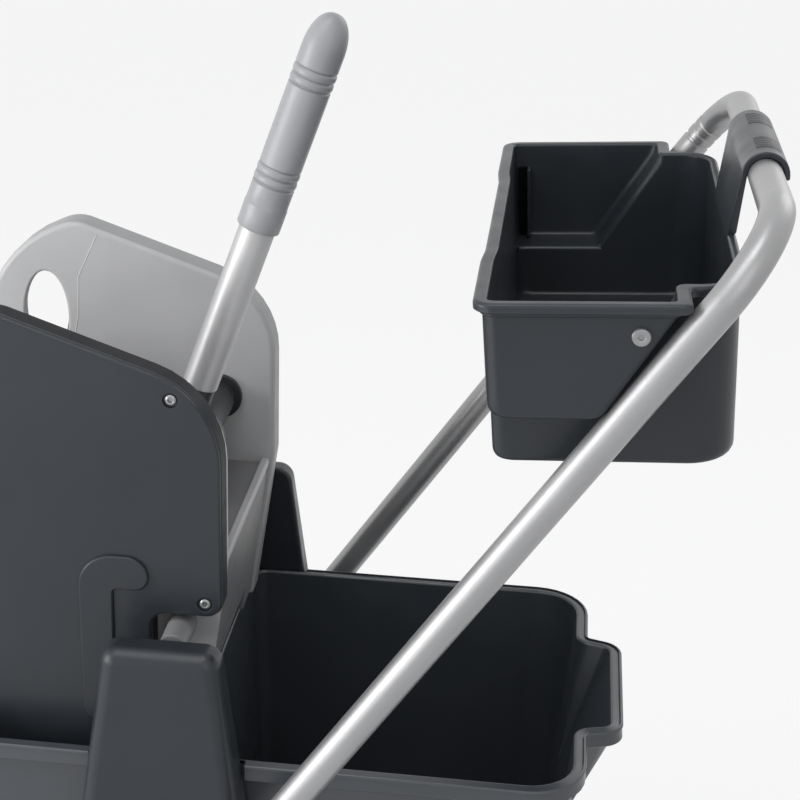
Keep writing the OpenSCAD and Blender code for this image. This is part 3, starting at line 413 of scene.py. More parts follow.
def bucketPlan(v):
    start, end = v["gap"] / 2, v["gap"] / 2 + v["length"]
    tip = end + v["lipReach"]
    points = [(start, -v["half"]), (end, -v["half"]), (end, -v["lipHalf"]), (tip, -v["lipTip"]),
              (tip, v["lipTip"]), (end, v["lipHalf"]), (end, v["half"]), (start, v["half"])]
    corner, root, lip = v["endCorner"], v["lipRoot"], v["lipRound"]
    return points, [v["postCorner"], corner, root, lip, lip, root, corner, v["postCorner"]]


def bucketLoops(v, depth):
    points, radii = bucketPlan(v)
    foot, skirt = -depth, -v["drop"]

    def rim(inset, level):
        return [(x, y, level) for x, y in roundedLine(*insetCorners(points, radii, inset))]

    def tub(inset, top, level, shrink=0):
        low, high, half = points[0][0] + inset, points[1][0] - inset, v["half"] - inset
        f = (top - level) / (top - foot)
        near, far = low + v["draftPost"] * f, high - v["draftEnd"] * f
        loop = []
        for x, y, z in rim(inset, level):
            if x > high + v["weld"]:  # the lip runs out into the end wall
                x, y = high, y * v["lipClose"]
            x = near + shrink + (x - low) * (far - near - 2 * shrink) / (high - low)
            loop.append((x, y * (1 - (v["draftSide"] * f + shrink) / half), z))
        return loop

    outside, inside, fall = v["flange"] - v["wall"], v["flange"], -v["lipFall"]
    bend, edge = quarter(v["floorRound"]), v["skirtEdge"]
    loops = [tub(outside, skirt, foot + rise, inward) for inward, rise in bend]
    loops += [tub(outside, skirt, fall), rim(outside, skirt), rim(edge, skirt), rim(0, skirt + edge)]
    loops += [rim(inset, -deep) for inset, deep in quarter(v["rimRound"])]
    loops += [rim(v["flange"] - inset, -deep) for inset, deep in quarter(v["rimInner"])]
    loops += [tub(inside, -v["rimInner"], fall)]
    floor = foot + v["wall"]
    return loops + [tub(inside, -v["rimInner"], floor + rise, inward) for inward, rise in reversed(bend)]


def makeBucket(v, name, node, turn):
    bm = bmesh.new()
    loftLoops(bm, bucketLoops(v, (rimZ - bucketLow.z) / mm))
    cutEnd = v["cutX"] - v["cutRun"]
    for at in (v["cutX"], cutEnd):  # beside the posts the rim is cut back
        bmesh.ops.bisect_plane(bm, geom=[*bm.verts, *bm.edges, *bm.faces], plane_co=(at, 0, 0),
                               plane_no=(1, 0, 0))
    for vert in bm.verts:
        if vert.co.x < cutEnd + v["cutSlack"] and abs(vert.co.y) > v["cutHalf"]:
            vert.co.y = math.copysign(v["cutHalf"], vert.co.y)
    closeUp(bm, rimPlace @ Matrix.Rotation(turn, 4, "Z"), v["weld"])
    endPiece(name, bm, node, finish="tub_plastic")


makeBucket(bucketSet, "rearTub", "rear_bucket", 0)
makeBucket(bucketSet, "frontTub", "front_bucket", math.pi)
print("buckets made")


# posts: tapered, swelling to the plinth that holds the leg sockets; heights from the floor

postSet = {"inner": 170, "outerRound": 13, "innerRound": 4, "leastRound": 1, "topHalf": 46, "flare": 0.135,
           "foot": 150, "plinth": (241, 210), "waist": (206, 370), "top": (197, 546), "plinthBend": 110,
           "waistBend": 315, "topDrops": (13, 10, 7.5, 5.5, 4, 2.8, 1.8, 1, 0.4, 0)}
socketSet = {"radius": 20, "low": -235, "high": -130, "edge": 2.5, "sides": 48, "sharp": 45}


def legPlace(side):
    # frame on a leg's axis: Z runs up the tube from rim height
    foot = Vector((barX, side * handleHalf, barZ)) - legUp * (barZ - rimZ) / math.sin(legSlope)
    return Matrix.Translation(foot) @ Matrix.Rotation(math.pi / 2 - legSlope, 4, "Y")


def postLoops(v, side):
    (outer, top), foot, least = v["top"], (v["plinth"][0], v["foot"]), v["leastRound"]
    line = [(v["inner"], v["foot"]), foot, v["plinth"], v["waist"], v["top"], (v["inner"], top)]
    edge = roundedLine(line, [least, least, v["plinthBend"], v["waistBend"], least, least])
    perCorner = len(edge) // len(line)
    levels = [foot] + [tuple(p) for p in edge[2 * perCorner:4 * perCorner]]  # the plinth's and waist's bends
    slope = (v["waist"][0] - outer) / (top - v["waist"][1])
    levels += [(outer + slope * drop, top - drop) for drop in v["topDrops"]]
    loops = []
    for wide, height in levels:
        inset = roundIn(v["outerRound"], top - height)
        half = v["topHalf"] + v["flare"] * (top - height) - inset
        near, far = v["inner"] + roundIn(v["innerRound"], top - height), wide - inset
        points = [(-half, near), (half, near), (half, far), (-half, far)]
        innerCorner, outerCorner = v["innerRound"], max(least, v["outerRound"] - inset)
        radii = [innerCorner, innerCorner, outerCorner, outerCorner]
        loops.append([(x, side * y, height) for x, y in roundedLine(points, radii)])
    return loops


def makeSocketTube(v, side):
    bm = bmesh.new()
    radius, length = v["radius"] * mm, (v["high"] - v["low"]) * mm
    bmesh.ops.create_cone(bm, cap_ends=True, segments=v["sides"], radius1=radius, radius2=radius,
                          depth=length)
    bevelEdges(bm, sharpEdges(bm, v["sharp"]), v["edge"] * mm, 4)
    middle = Matrix.Translation((0, 0, v["high"] * mm - length / 2))
    return moveTo(bm, legPlace(side) @ middle)


def makePost(v, name, node, side):
    bm = bmesh.new()
    loftLoops(bm, postLoops(v, side))
    closeUp(bm, Matrix.Translation((midX, 0, 0)) @ Matrix.Scale(mm, 4))
    addTo(bm, makeSocketTube(socketSet, side))
    endPiece(name, bm, node)


makePost(postSet, "nearPost", "left_post", -1)
makePost(postSet, "farPost", "right_post", 1)
print("posts made")


# push handle: one tube bent twice, with three rolled rings in the far bend

handleSet = {"bend": 65, "sides": 48, "bendSteps": 24, "farSteps": 90, "ringTurns": (11, 20, 29),
             "ringHalf": 1.7, "ringDeep": 1.1}


def carry(bm, ring, step):
    # extrudes the open end of a tube by a step and returns the new end
    made = bmesh.ops.extrude_edge_only(bm, edges=edgesIn(ring))["geom"]
    verts = vertsIn(made)
    bmesh.ops.translate(bm, vec=step, verts=verts)
    return verts + [e for e in edgesIn(made) if all(p in verts for p in e.verts)]


def bendTube(bm, ring, centre, axis, steps):
    return bmesh.ops.spin(bm, geom=ring, cent=centre, axis=axis, angle=math.pi / 2, steps=steps)["geom_last"]


def makeHandle(v, name, node):
    bend, across = v["bend"] * mm, Vector((0, 1, 0))
    axis = legUp.cross(across)
    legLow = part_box(node)[0].z + tubeHalf * math.cos(legSlope)
    legRun = (barZ - legLow) / math.sin(legSlope) - bend
    foot = Vector((barX, -handleHalf, barZ)) - legUp * (legRun + bend)
    start = Matrix.Translation(foot) @ Matrix.Rotation(math.pi / 2 - legSlope, 4, "Y")
    bm = bmesh.new()
    bmesh.ops.create_circle(bm, cap_ends=True, segments=v["sides"], radius=tubeHalf, matrix=start)
    ring = carry(bm, [*bm.verts, *bm.edges], legUp * legRun)
    ring = bendTube(bm, ring, foot + legUp * legRun + across * bend, axis, v["bendSteps"])
    ring = carry(bm, ring, across * 2 * (handleHalf - bend))
    farBend = Vector((barX, handleHalf - bend, barZ)) - legUp * bend
    ring = bendTube(bm, ring, farBend, axis, v["farSteps"])
    for vert in bm.verts:  # rolled rings where the far bend runs into its leg
        reach = vert.co - farBend
        turn = math.atan2(reach.dot(legUp), reach.y)
        near = min(abs(math.degrees(turn) - at) for at in v["ringTurns"])
        if reach.y > 0 and near < v["ringHalf"]:
            middle = farBend + (legUp * math.sin(turn) + across * math.cos(turn)) * bend
            vert.co = middle + (vert.co - middle) * (1 - v["ringDeep"] * mm / tubeHalf)
    ring = carry(bm, ring, -legUp * legRun)
    bmesh.ops.edgeloop_fill(bm, edges=edgesIn(ring))
    bmesh.ops.recalc_face_normals(bm, faces=bm.faces)
    endPiece(name, bm, node, weighted=False)


makeHandle(handleSet, "bentHandle", "push_handle")
print("handle made")


# lever: hub, tube and ringed grip, heights along the lever's own axis

leverShift = 13.2  # how far in front of the shaft the lever's axis passes
leverPlace = (Matrix.Translation(pivot) @ Matrix.Rotation(leverLean, 4, "Y")
              @ Matrix.Translation((-leverShift * mm, 0, 0)) @ Matrix.Scale(mm, 4))
hubSet = {"radius": 23, "bore": 8, "half": 17, "edge": 0.8, "sides": 64, "neck": 14, "neckStart": 9,
          "neckEnd": 51.8}
poleSet = {"radius": 15, "inner": 13, "start": 52, "end": 360, "edge": 0.5, "sides": 64}
gripSet = {"radius": 17.5, "bore": 15.1, "start": 199, "end": 382, "dome": 30, "blunt": 0.85, "domeStep": 5,
           "collar": 21, "collarProud": 0.5, "collarEdge": (1.2, 0.35), "sides": 72,
           "collarTop": ((0, -0.8), (0.15, -0.2), (0.5, 0.3)),
           "rings": (39, 123.5), "ringCount": 3, "ringPitch": 7.5, "ringDeep": 1.3, "ringHalf": 1.2,
           "groove": ((0, -1), (0.7, -0.5), (1, 0), (0.7, 0.5), (0, 1)),
           "crown": ((0.3, 0.35), (0.4, 0.5), (0.3, 0.65))}


def makeSocket(v, name, node):
    # a hub round the shaft, with the neck that the tube is pushed over
    half, edge, r = v["half"], v["edge"], v["radius"]
    ring = [(v["bore"], -half), (r - edge, -half), (r, edge - half), (r, half - edge), (r - edge, half),
            (v["bore"], half)]
    across = Matrix.Translation(pivot) @ Matrix.Rotation(math.pi / 2, 4, "X") @ Matrix.Scale(mm, 4)
    bm = lathe(ring, across, v["sides"], closed=True)
    start, end = v["neckStart"], v["neckEnd"]
    addTo(bm, lathe([(0, start), (v["neck"], start), (v["neck"], end), (0, end)], leverPlace))
    endPiece(name, bm, node)


def makeLeverTube(v, name, node):
    r, inner, start, end, edge = (v[k] for k in ("radius", "inner", "start", "end", "edge"))
    points = [(inner, end), (inner, start), (r - edge, start), (r, start + edge), (r, end)]
    bm = lathe(points, leverPlace, v["sides"], closed=True)
    # the lever tube takes the lighter aluminium copy as painted light
    endPiece(name, bm, node, weighted=False, finish="lever_painted_light_aluminium")


def gripProfile(v):
    r, base, pitch = v["radius"], v["start"], v["ringPitch"]
    proud, ledge = r + v["collarProud"], base + v["collar"]
    points = [(v["bore"], base)]
    points += [(proud - inset, base + rise) for inset, rise in reversed(softEdge(*v["collarEdge"]))]
    points += [(proud - inset, ledge + rise) for inset, rise in v["collarTop"]]
    for start in v["rings"]:
        for k in range(v["ringCount"]):
            at = base + start + k * pitch
            points += [(r - v["ringDeep"] * deep, at + v["ringHalf"] * along) for deep, along in v["groove"]]
            if k < v["ringCount"] - 1:  # the rings between the grooves are crowned
                points += [(r + high, at + pitch * along) for high, along in v["crown"]]
    top = v["end"] - v["dome"]
    turns = [math.radians(d) for d in range(0, 90, v["domeStep"])]
    points += [(r * math.cos(t) ** v["blunt"], top + v["dome"] * math.sin(t)) for t in turns]
    return points + [(0, v["end"])]


def makeGrip(v, name, node):
    endPiece(name, lathe(gripProfile(v), leverPlace, v["sides"]), node, angle=50, weighted=False)


makeSocket(hubSet, "socketHub", "lever_socket")
makeLeverTube(poleSet, "leverPole", "lever_tube")
makeGrip(gripSet, "ringedGrip", "lever_grip")
print("lever made")


# basket: wide wings rest on the handle legs, and a narrow body hangs between them

basketSet = {"at": (411.2, 865.5), "tilt": 3, "length": 176, "depth": 133, "slope": 5.5, "wide": 229,
             "neck": 190, "wingDepth": 85, "wingBack": -94.55, "step": -42, "lip": 7, "wall": 4, "flange": 6,
             "endFlange": 3, "stepFlange": 6.5, "corner": 10, "endCorner": 30, "stepCorner": 6, "scoop": 2,
             "scoopHalf": 128, "scoopRun": 26, "scoopBend": 180, "ridge": 1.5, "ridgeDrop": 10, "ridgeRun": 1,
             "ridgeCorner": 1, "floorRound": 9, "sideRound": 3.5, "innerRound": 3, "ledgeRound": 3,
             "rimRound": 3, "rimInner": 2.4, "rimEdge": 0.6, "rimCorner": 5, "innerLip": 2, "floorSkin": 0.8,
             "rises": (0, 0.4, 1.1, 2.2, 3.5, 6, 9, 12), "frontZone": -150, "sideZone": 20, "neckSlack": 0.1,
             "backShare": 0.5, "weld": 0.02}
ribSet = {"x": -158.5, "thick": 3.2, "reach": 16, "top": -20, "edge": 1.5, "sink": 1}
# a near-black block that paints the shade at the bottom of the slot
shadeBlockSet = {"x": -164, "z": -51.5, "size": (7.4, 6, 62)}
basketPlace = (Matrix.Translation((midX + basketSet["at"][0] * mm, 0, basketSet["at"][1] * mm))
               @ Matrix.Rotation(math.radians(-basketSet["tilt"]), 4, "Y") @ Matrix.Scale(mm, 4))


def basketLoops(v):
    climb = (v["step"] - v["wingBack"]) / (v["wingDepth"] - v["lip"])
    foot, ledge, skin, lip, rises = -v["depth"], -v["wingDepth"], v["wall"], v["lip"], v["rises"]
    full = (v["flange"], v["flange"], v["stepFlange"], v["endFlange"])

    def frontAt(z):
        return -v["length"] - v["slope"] * z / v["depth"]

    def wing(z, grow=(0, 0, 0, 0), scoop=0, rounder=0):
        # grow moves the front, the sides, the step and the end outward
        front, end = frontAt(z) - grow[0], grow[3]
        wide, neck = v["wide"] + grow[1], v["neck"] + grow[1]
        back = v["step"] + grow[2] - max(0, -lip - z) * climb
        half, run = v["scoopHalf"], v["scoopHalf"] - v["scoopRun"]
        points = [(front, -wide), (back, -wide), (back, -neck), (end, -neck), (end, neck), (back, neck),
                  (back, wide), (front, wide), (front, neck), (front, half), (front + scoop, run),
                  (front + scoop, -run), (front, -half), (front, -neck)]
        a, b, c, d = v["corner"] + rounder, v["stepCorner"], v["endCorner"] + rounder, v["scoopBend"]
        return [(x, y, z) for x, y in roundedLine(points, [a, b, b, c, c, b, b, a, 1, d, d, d, d, 1])]

    def wingFoot(level, rise, inner, front, side):
        # the wing's floor turns up into its front, back and sides
        loop = []
        ahead, aside, share = roundIn(front, rise), roundIn(side, rise), v["backShare"] * front
        behind = max(0, share - rise * climb) * max(0, 1 - rise / share)
        for x, y, z in wing(level + rise, (-inner,) * 4):
            if abs(y) > v["neck"] - inner + v["neckSlack"]:
                x += ahead if x < v["frontZone"] else -behind
                y -= math.copysign(aside, y) if abs(y) > v["wide"] - v["sideZone"] else 0
            loop.append((x, y, z))
        return loop

    def neck(z, inner, out=0, rise=math.inf):
        # the wings fold in to the narrow body
        loop = []
        line, half = v["neck"] - inner, v["scoopHalf"]
        fold = (line + out - half) / (v["wide"] - inner - half)
        low, high = frontAt(z) + inner, -inner
        shift = frontAt(z) - frontAt(ledge)
        ahead, aside = roundIn(v["floorRound"], rise), roundIn(v["sideRound"], rise)
        for x, y, _ in wing(ledge, (-inner,) * 4):
            if x < v["frontZone"]:
                x += shift
                y = math.copysign(half + (abs(y) - half) * fold, y) if abs(y) > half else y
            elif abs(y) > line:
                y = math.copysign(line + out, y)
            x = low + ahead + (x - low) * (high - low - 2 * ahead) / (high - low)
            loop.append((x, y * (1 - aside / line), z))
        return loop

    def ridge(z):
        return wing(z, (v["ridge"],) * 4, 0, v["ridgeCorner"])

    def rim(drop, inward):
        return wing(-drop, [g - inward for g in full], v["scoop"], v["rimCorner"] - inward)

    loops = [neck(foot + rise, 0, 0, rise) for rise in rises] + [neck(ledge, 0)]
    loops += [wingFoot(ledge, rise, 0, v["floorRound"], v["sideRound"]) for rise in rises]
    loops += [wing(-v["ridgeDrop"] - v["ridgeRun"]), ridge(-v["ridgeDrop"]), ridge(-lip)]
    loops += [rim(lip, v["rimEdge"]), rim(lip - v["rimEdge"], 0)]
    loops += [rim(drop, inward) for inward, drop in reversed(quarter(v["rimRound"]))]
    loops += [wing(-drop, (out - skin,) * 4, v["scoop"], out - skin) for out, drop in quarter(v["rimInner"])]
    loops += [wing(-lip - v["innerLip"], (-skin,) * 4, 0, -skin)]
    low = ledge + v["floorSkin"]
    loops += [wingFoot(low, rise, skin, v["innerRound"], v["innerRound"]) for rise in reversed(rises)]
    loops += [neck(low - drop, skin, out) for drop, out in reversed(quarter(v["ledgeRound"]))]
    return loops + [neck(foot + skin + rise, skin, 0, rise) for rise in reversed(rises)]


def addRib(bm, v, basket, side):
    # an upright rib makes a slot beside a front corner, and a near-black block deep in it is painted shade
    low, high = basket["wall"] - basket["wingDepth"] - v["sink"], v["top"]
    out = basket["wide"] - basket["wall"] + v["sink"]
    middle = (v["x"], side * (out - v["reach"] / 2), (low + high) / 2)
    addTo(bm, block((v["thick"], v["reach"], high - low), middle, v["edge"]))
    shadeBlock = block(shadeBlockSet["size"], (shadeBlockSet["x"], side * (out - shadeBlockSet["size"][1] / 2), shadeBlockSet["z"]))
    for face in shadeBlock.faces:
        face.material_index = 1
    addTo(bm, shadeBlock)


def makeBasket(v, name, node):
    bm = bmesh.new()
    loftLoops(bm, basketLoops(v))
    bmesh.ops.remove_doubles(bm, verts=bm.verts, dist=v["weld"])
    bmesh.ops.dissolve_degenerate(bm, edges=bm.edges, dist=v["weld"])
    bmesh.ops.recalc_face_normals(bm, faces=bm.faces)
    for side in (-1, 1):
        addRib(bm, ribSet, v, side)
    piece = endPiece(name, moveTo(bm, basketPlace), node)
    # the block in each slot takes the near-black plastic as painted shade
    piece.data.materials.append(finishes["slot_painted_shade_plastic"])


makeBasket(basketSet, "basketShell", "basket")
print("basket made")


# hook: a strap rises from the basket's end and bends over the crossbar, with two ribbed pads on top

hookSet = {"bar": (21.41, 45.44), "inner": 13, "outer": 17.5, "lip": 4, "foot": (-4.4, 2.9), "footLow": -10,
           "root": (-0.6, -1), "footHalf": 66, "topHalf": 72, "edge": 1.4, "sharp": 50, "arc": 20}
padSet = {"places": (-38, 42), "half": 17, "turn": 12, "reach": 32, "ribs": 6, "crest": 18.1, "valley": 17.4,
          "crestRun": (0.25, 0.75), "root": 15.5, "arc": 12}
boltSet = {"x": -69, "z": -24, "y": 229, "socket": 2.6,
           "head": ((0, 0.9), (2.5, 0.9), (2.5, 2.3), (2.9, 2.7), (4.9, 3), (5.9, 2.7), (6.5, 1.9),
                    (6.5, -0.5), (0, -0.5))}


def hookLine(v):
    (x, z), (back, front), (rootX, rootZ) = v["bar"], v["foot"], v["root"]
    turns = [math.pi * k / v["arc"] for k in range(v["arc"] + 1)]
    line = [(back, v["footLow"]), (rootX, v["footLow"]), (rootX, rootZ), (front, 0)]
    line += [(x - v["inner"] * math.cos(t), z + v["inner"] * math.sin(t)) for t in turns]
    line += [(x + v["inner"], z - v["lip"]), (x + v["outer"], z - v["lip"])]
    line += [(x + v["outer"] * math.cos(t), z + v["outer"] * math.sin(t)) for t in turns]
    return line + [(back, rootZ)]


def makeHook(v, name, node):
    def halfAt(z):
        return v["footHalf"] + (v["topHalf"] - v["footHalf"]) * min(1, max(0, z / v["bar"][1]))

    bm = bmesh.new()
    loftLoops(bm, [[(x, side * halfAt(z), z) for x, z in hookLine(v)] for side in (-1, 1)])
    bevelEdges(bm, sharpEdges(bm, v["sharp"]), v["edge"], 4)
    endPiece(name, closeUp(bm, basketPlace), node)


def padLine(v, at):
    pitch = 2 * v["half"] / v["ribs"]
    line = [(v["root"], at - v["half"])]
    for k in range(v["ribs"]):
        low = at - v["half"] + k * pitch
        line += [(v["valley"], low)] + [(v["crest"], low + pitch * along) for along in v["crestRun"]]
    return line + [(v["valley"], at + v["half"]), (v["root"], at + v["half"])]


def makePads(v, hook, name, node):
    bm = bmesh.new()
    first = Matrix.Rotation(math.radians(v["turn"] - v["reach"]), 3, "Y")
    for at in v["places"]:
        pad = bmesh.new()
        verts = [pad.verts.new(first @ Vector((0, y, r))) for r, y in padLine(v, at)]
        face = pad.faces.new(verts)
        bmesh.ops.spin(pad, geom=[face, *verts, *face.edges], cent=(0, 0, 0), axis=(0, 1, 0),
                       angle=math.radians(2 * v["reach"]), steps=v["arc"])
        addTo(bm, closeUp(pad, basketPlace @ Matrix.Translation((hook["bar"][0], 0, hook["bar"][1]))))
    endPiece(name, bm, node)


def headPlace(x, y, z, side):
    # a screw's place on a side wall, facing outward
    return Matrix.Translation((x, side * y, z)) @ Matrix.Rotation(-side * math.pi / 2, 4, "X")


def makeBolts(v, name, node):
    bm = bmesh.new()
    for side in (-1, 1):
        place = basketPlace @ headPlace(v["x"], v["y"], v["z"], side)
        addTo(bm, screwHead(v["head"], v["socket"], place))
    endPiece(name, bm, node, angle=30)


makeHook(hookSet, "barHook", "basket_hook")
makePads(padSet, hookSet, "ribbedPads", "hook_pads")
makeBolts(boltSet, "basketScrews", "basket_bolts")
print("hook made")


# wringer sides: light plates behind dark covers, all from one outline

sideSet = {"left": -227, "right": 40, "low": 30, "shoulder": 324, "apex": (-140.8, 358), "corner": 297,
           "taper": 145, "foot": (20, 0.5), "notch": -17.5, "dip": 60, "dipX": -150, "tops": (79, 33, 111),
           "dipBends": (20, 10), "lowBend": 20, "coverLow": 110, "coverBends": (12, 13),
           "plateBends": (2, 3, 30), "plateIn": 112, "plateOut": 118, "coverOut": 140, "farLip": 4,
           "hold": (-168.5, 267), "holdSize": (20, 42), "holdRound": 2.5, "bore": 12.3,
           "shaft": (-9.5, 201), "edgeTilt": 0.3}


def sideLine(inset, cover=False, drop=0):
    v = sideSet
    right, notch, (apexX, apexZ) = v["right"], v["notch"], v["apex"]
    tail, bends = [(notch, v["foot"][1]), v["foot"], (right, v["taper"])], v["plateBends"]
    if cover:
        tail, bends = [(notch, v["coverLow"]), (right, v["coverLow"])], v["coverBends"]
    points = [(v["dipX"], -v["dip"]), (notch, -v["dip"]), *tail, (right, v["corner"] - drop),
              (apexX, apexZ - drop), (v["left"], v["shoulder"] - drop), (v["left"], v["low"])]
    radii = [*v["dipBends"], *bends, *v["tops"], v["lowBend"]]
    return roundedLine(*insetCorners(points, radii, inset))


def sideSkin(steps, cover=False, drop=0):
    return [atDepth(sideLine(inset, cover, drop), y) for inset, y in steps]


def oval(middle, size, grow=0, count=40):
    turns = [math.tau * k / count for k in range(count)]
    wide, high = size[0] + grow, size[1] + grow
    return [(middle[0] + wide * math.cos(t), middle[1] + high * math.sin(t)) for t in turns]


def atDepth(line, y):
    return [(x, y, z) for x, z in line]


def holdSkin(near, far, shift=0):
    # the hand hole's wall, rounded where it meets the near face
    v = sideSet
    way = math.copysign(1, far - near)
    middle, size = (v["hold"][0] - shift, v["hold"][1]), v["holdSize"]
    loops = [atDepth(oval(middle, size, out), near + way * deep) for out, deep in quarter(v["holdRound"])]
    return loops + [atDepth(oval(middle, size), far)]


def boreSkin(near, far):
    ring = oval(sideSet["shaft"], (sideSet["bore"], sideSet["bore"]))
    return [atDepth(ring, near), atDepth(ring, far)]


def paintEdgeShade(piece, finish, beyond):
    # faces that look along the outline, past a depth, take a second finish: a darker copy of the plastic that
    # paints shade on the edge band
    piece.data.materials.append(finishes[finish])
    for face in piece.data.polygons:
        if abs(face.normal.y) < sideSet["edgeTilt"] and face.center.y > beyond * mm:
            face.material_index = 1


farPlateSet = {"round": 5, "edge": (1.2, 0.35), "lipEdge": 0.6, "flangeFrom": 4,
               "crease": ((-119.7, 345.2), (-137.7, 306.2), (-139, 269.4), (-142.2, 253)),
               "creaseHalf": 0.9, "creaseHigh": 0.4, "creaseSink": 0.2}


def makeFarPlate(v, name, node):
    bm = bmesh.new()
    near, back, out, lip = (sideSet[k] for k in ("plateIn", "plateOut", "coverOut", "farLip"))
    steps = [(inset, near + deep) for inset, deep in quarter(v["round"])]
    steps += [(inset, out - deep) for inset, deep in softEdge(*v["edge"])]
    steps += [(lip - v["lipEdge"], out), (lip, out - v["lipEdge"]), (lip, back)]
    holedSheet(bm, [sideSkin(steps), holdSkin(near, back), boreSkin(near, back)])
    half, base, crest = v["creaseHalf"], near + v["creaseSink"], near - v["creaseHigh"]
    loftLoops(bm, [[(x - half, base, z), (x, crest, z), (x + half, base, z)]
                   for x, z in v["crease"]])  # a fine raised seam across the inner face
    # the flange faces take the darker grey copy as painted shade
    paintEdgeShade(endPiece(name, closeUp(bm, rimPlace), node), "flange_painted_shade_plastic", near + v["flangeFrom"])


nearPlateSet = {"drop": 4, "edge": (1, 0.3)}


def makeNearPlate(v, name, node):
    bm = bmesh.new()
    near, back = -sideSet["plateOut"], -sideSet["plateIn"]
    steps = [(0, near)] + [(inset, back - deep) for inset, deep in softEdge(*v["edge"])]
    hold = list(reversed(holdSkin(back, near)))
    holedSheet(bm, [sideSkin(steps, drop=v["drop"]), hold, boreSkin(near, back)])
    endPiece(name, closeUp(bm, rimPlace), node)


screwSet = {"places": ((1, 294), (26, 122), (-196, 296), (-190, 60)), "seat": 6.2, "seatDeep": 2.4,
            "seatEdge": ((0.5, 0), (0.1, 0.2), (0, 0.6)), "sides": 32, "sink": 0.4, "socket": 2.5,
            "head": ((0, -1.7), (2.4, -1.7), (2.4, 0), (2.7, 0.2), (3.5, 0), (4.2, -0.6), (4.4, -1.4),
                     (4.4, -2.2), (0, -2.2))}


def screwSeats(v, face, way):
    # skins of the blind seats for the screw heads
    steps, size = [*v["seatEdge"], (0, v["seatDeep"])], (v["seat"], v["seat"])
    return [[atDepth(oval(place, size, out, v["sides"]), face + way * deep) for out, deep in steps]
            for place in v["places"]]


nearCoverSet = {"round": 2, "step": 1, "wall": 3, "bandEdge": ((1, 4), (0.3, 4.4), (0, 5)), "bandFrom": 5,
                "cane": ((-76, 9), (-48, 9), (-48, 131), (-19, 131), (-19, 160), (-76, 160)),
                "caneRounds": (13, 2, 4, 11, 18, 28), "caneHigh": 3.2, "caneRound": 1.8, "caneSink": 0.5}


def makeNearCover(v, name, node):
    bm = bmesh.new()
    face, back, wall = -sideSet["coverOut"], -sideSet["plateOut"], v["wall"]
    steps = [(v["step"] + inset, face + deep) for inset, deep in quarter(v["round"])]
    steps += [(inset, face + deep) for inset, deep in v["bandEdge"]]
    steps += [(0, back), (wall, back), (wall, face + wall)]
    holedSheet(bm, [sideSkin(steps, True), holdSkin(face, face + wall)], screwSeats(screwSet, face, 1))
    top = face - v["caneHigh"]
    rise = [(0, face + v["caneSink"])]
    rise += [(inset, top + deep) for inset, deep in reversed(quarter(v["caneRound"]))]
    loftLoops(bm, [atDepth(roundedLine(*insetCorners(v["cane"], v["caneRounds"], inset)), y)
                   for inset, y in rise])  # a raised cane on the face
    # the cover's top band takes the darker, duller plastic as painted shade
    paintEdgeShade(endPiece(name, closeUp(bm, rimPlace), node), "band_painted_shade_plastic", face + v["bandFrom"])


farCoverSet = {"face": 139, "thick": 6, "gap": 0.3, "round": 1.2, "shift": 5}


def makeFarCover(v, name, node):
    bm = bmesh.new()
    face, back, edge = v["face"], v["face"] - v["thick"], sideSet["farLip"] + v["gap"]
    steps = [(edge + inset, face - deep) for inset, deep in quarter(v["round"])] + [(edge, back)]
    holedSheet(bm, [sideSkin(steps), holdSkin(face, back, v["shift"])], screwSeats(screwSet, face, -1))
    endPiece(name, closeUp(bm, rimPlace), node)


def makeCoverScrews(v, name, node):
    bm = bmesh.new()
    for side, face in ((-1, sideSet["coverOut"]), (1, farCoverSet["face"])):
        for x, z in v["places"]:
            place = rimPlace @ headPlace(x, face - v["sink"], z, side)
            addTo(bm, screwHead(v["head"], v["socket"], place))
    endPiece(name, bm, node, angle=30)


tieSet = {"x": 4.5, "rise": 95, "radius": 11, "half": 164, "edge": (1.6, 0.48)}


def makeTieBar(v, name, node):
    r, half = v["radius"], v["half"]
    bend = [(r - inset, deep - half) for inset, deep in reversed(softEdge(*v["edge"]))]
    line = [(0, -half), *bend, *[(a, -b) for a, b in reversed(bend)], (0, half)]
    turn = Matrix.Translation((v["x"], 0, v["rise"])) @ Matrix.Rotation(math.pi / 2, 4, "X")
    # the tie rod takes the darker grey copy of the pale plastic as painted shade
    endPiece(name, lathe(line, rimPlace @ turn), node, angle=30, finish="painted_shade_plastic")


lipSet = {"x": 32, "top": 142.5, "size": (7, 224, 7), "edge": 1.5}


def makeBridgeLip(v, name, node):
    # a strip along the bridge, beside the bridge's own piece
    bm = block(v["size"], (v["x"], 0, v["top"] - v["size"][2] / 2), v["edge"], 4)
    endPiece(name, moveTo(bm, rimPlace), node, inPlace=False)


makeBridgeLip(lipSet, "bridgeLip", "rear_bridge")
makeFarPlate(farPlateSet, "farPlate", "right_plate")
makeNearPlate(nearPlateSet, "nearPlate", "left_plate")
makeNearCover(nearCoverSet, "nearCover", "left_cover")
makeFarCover(farCoverSet, "farCover", "right_cover")
makeCoverScrews(screwSet, "coverScrewHeads", "cover_screws")
makeTieBar(tieSet, "tieRod", "tie_bar")
print("wringer sides made")


# tyres: rounded shoulders and three grooves round the tread

tyreSet = {"seat": 29, "seatEdge": (2, 1), "radius": 40, "half": 12, "shoulder": 5, "grooves": (-4.5, 0, 4.5),
           "grooveHalf": 0.8, "floorShare": 0.6, "deep": 1.4, "sides": 72}
casters = {"fl": "FrontLeft", "fr": "FrontRight", "rl": "RearLeft", "rr": "RearRight"}


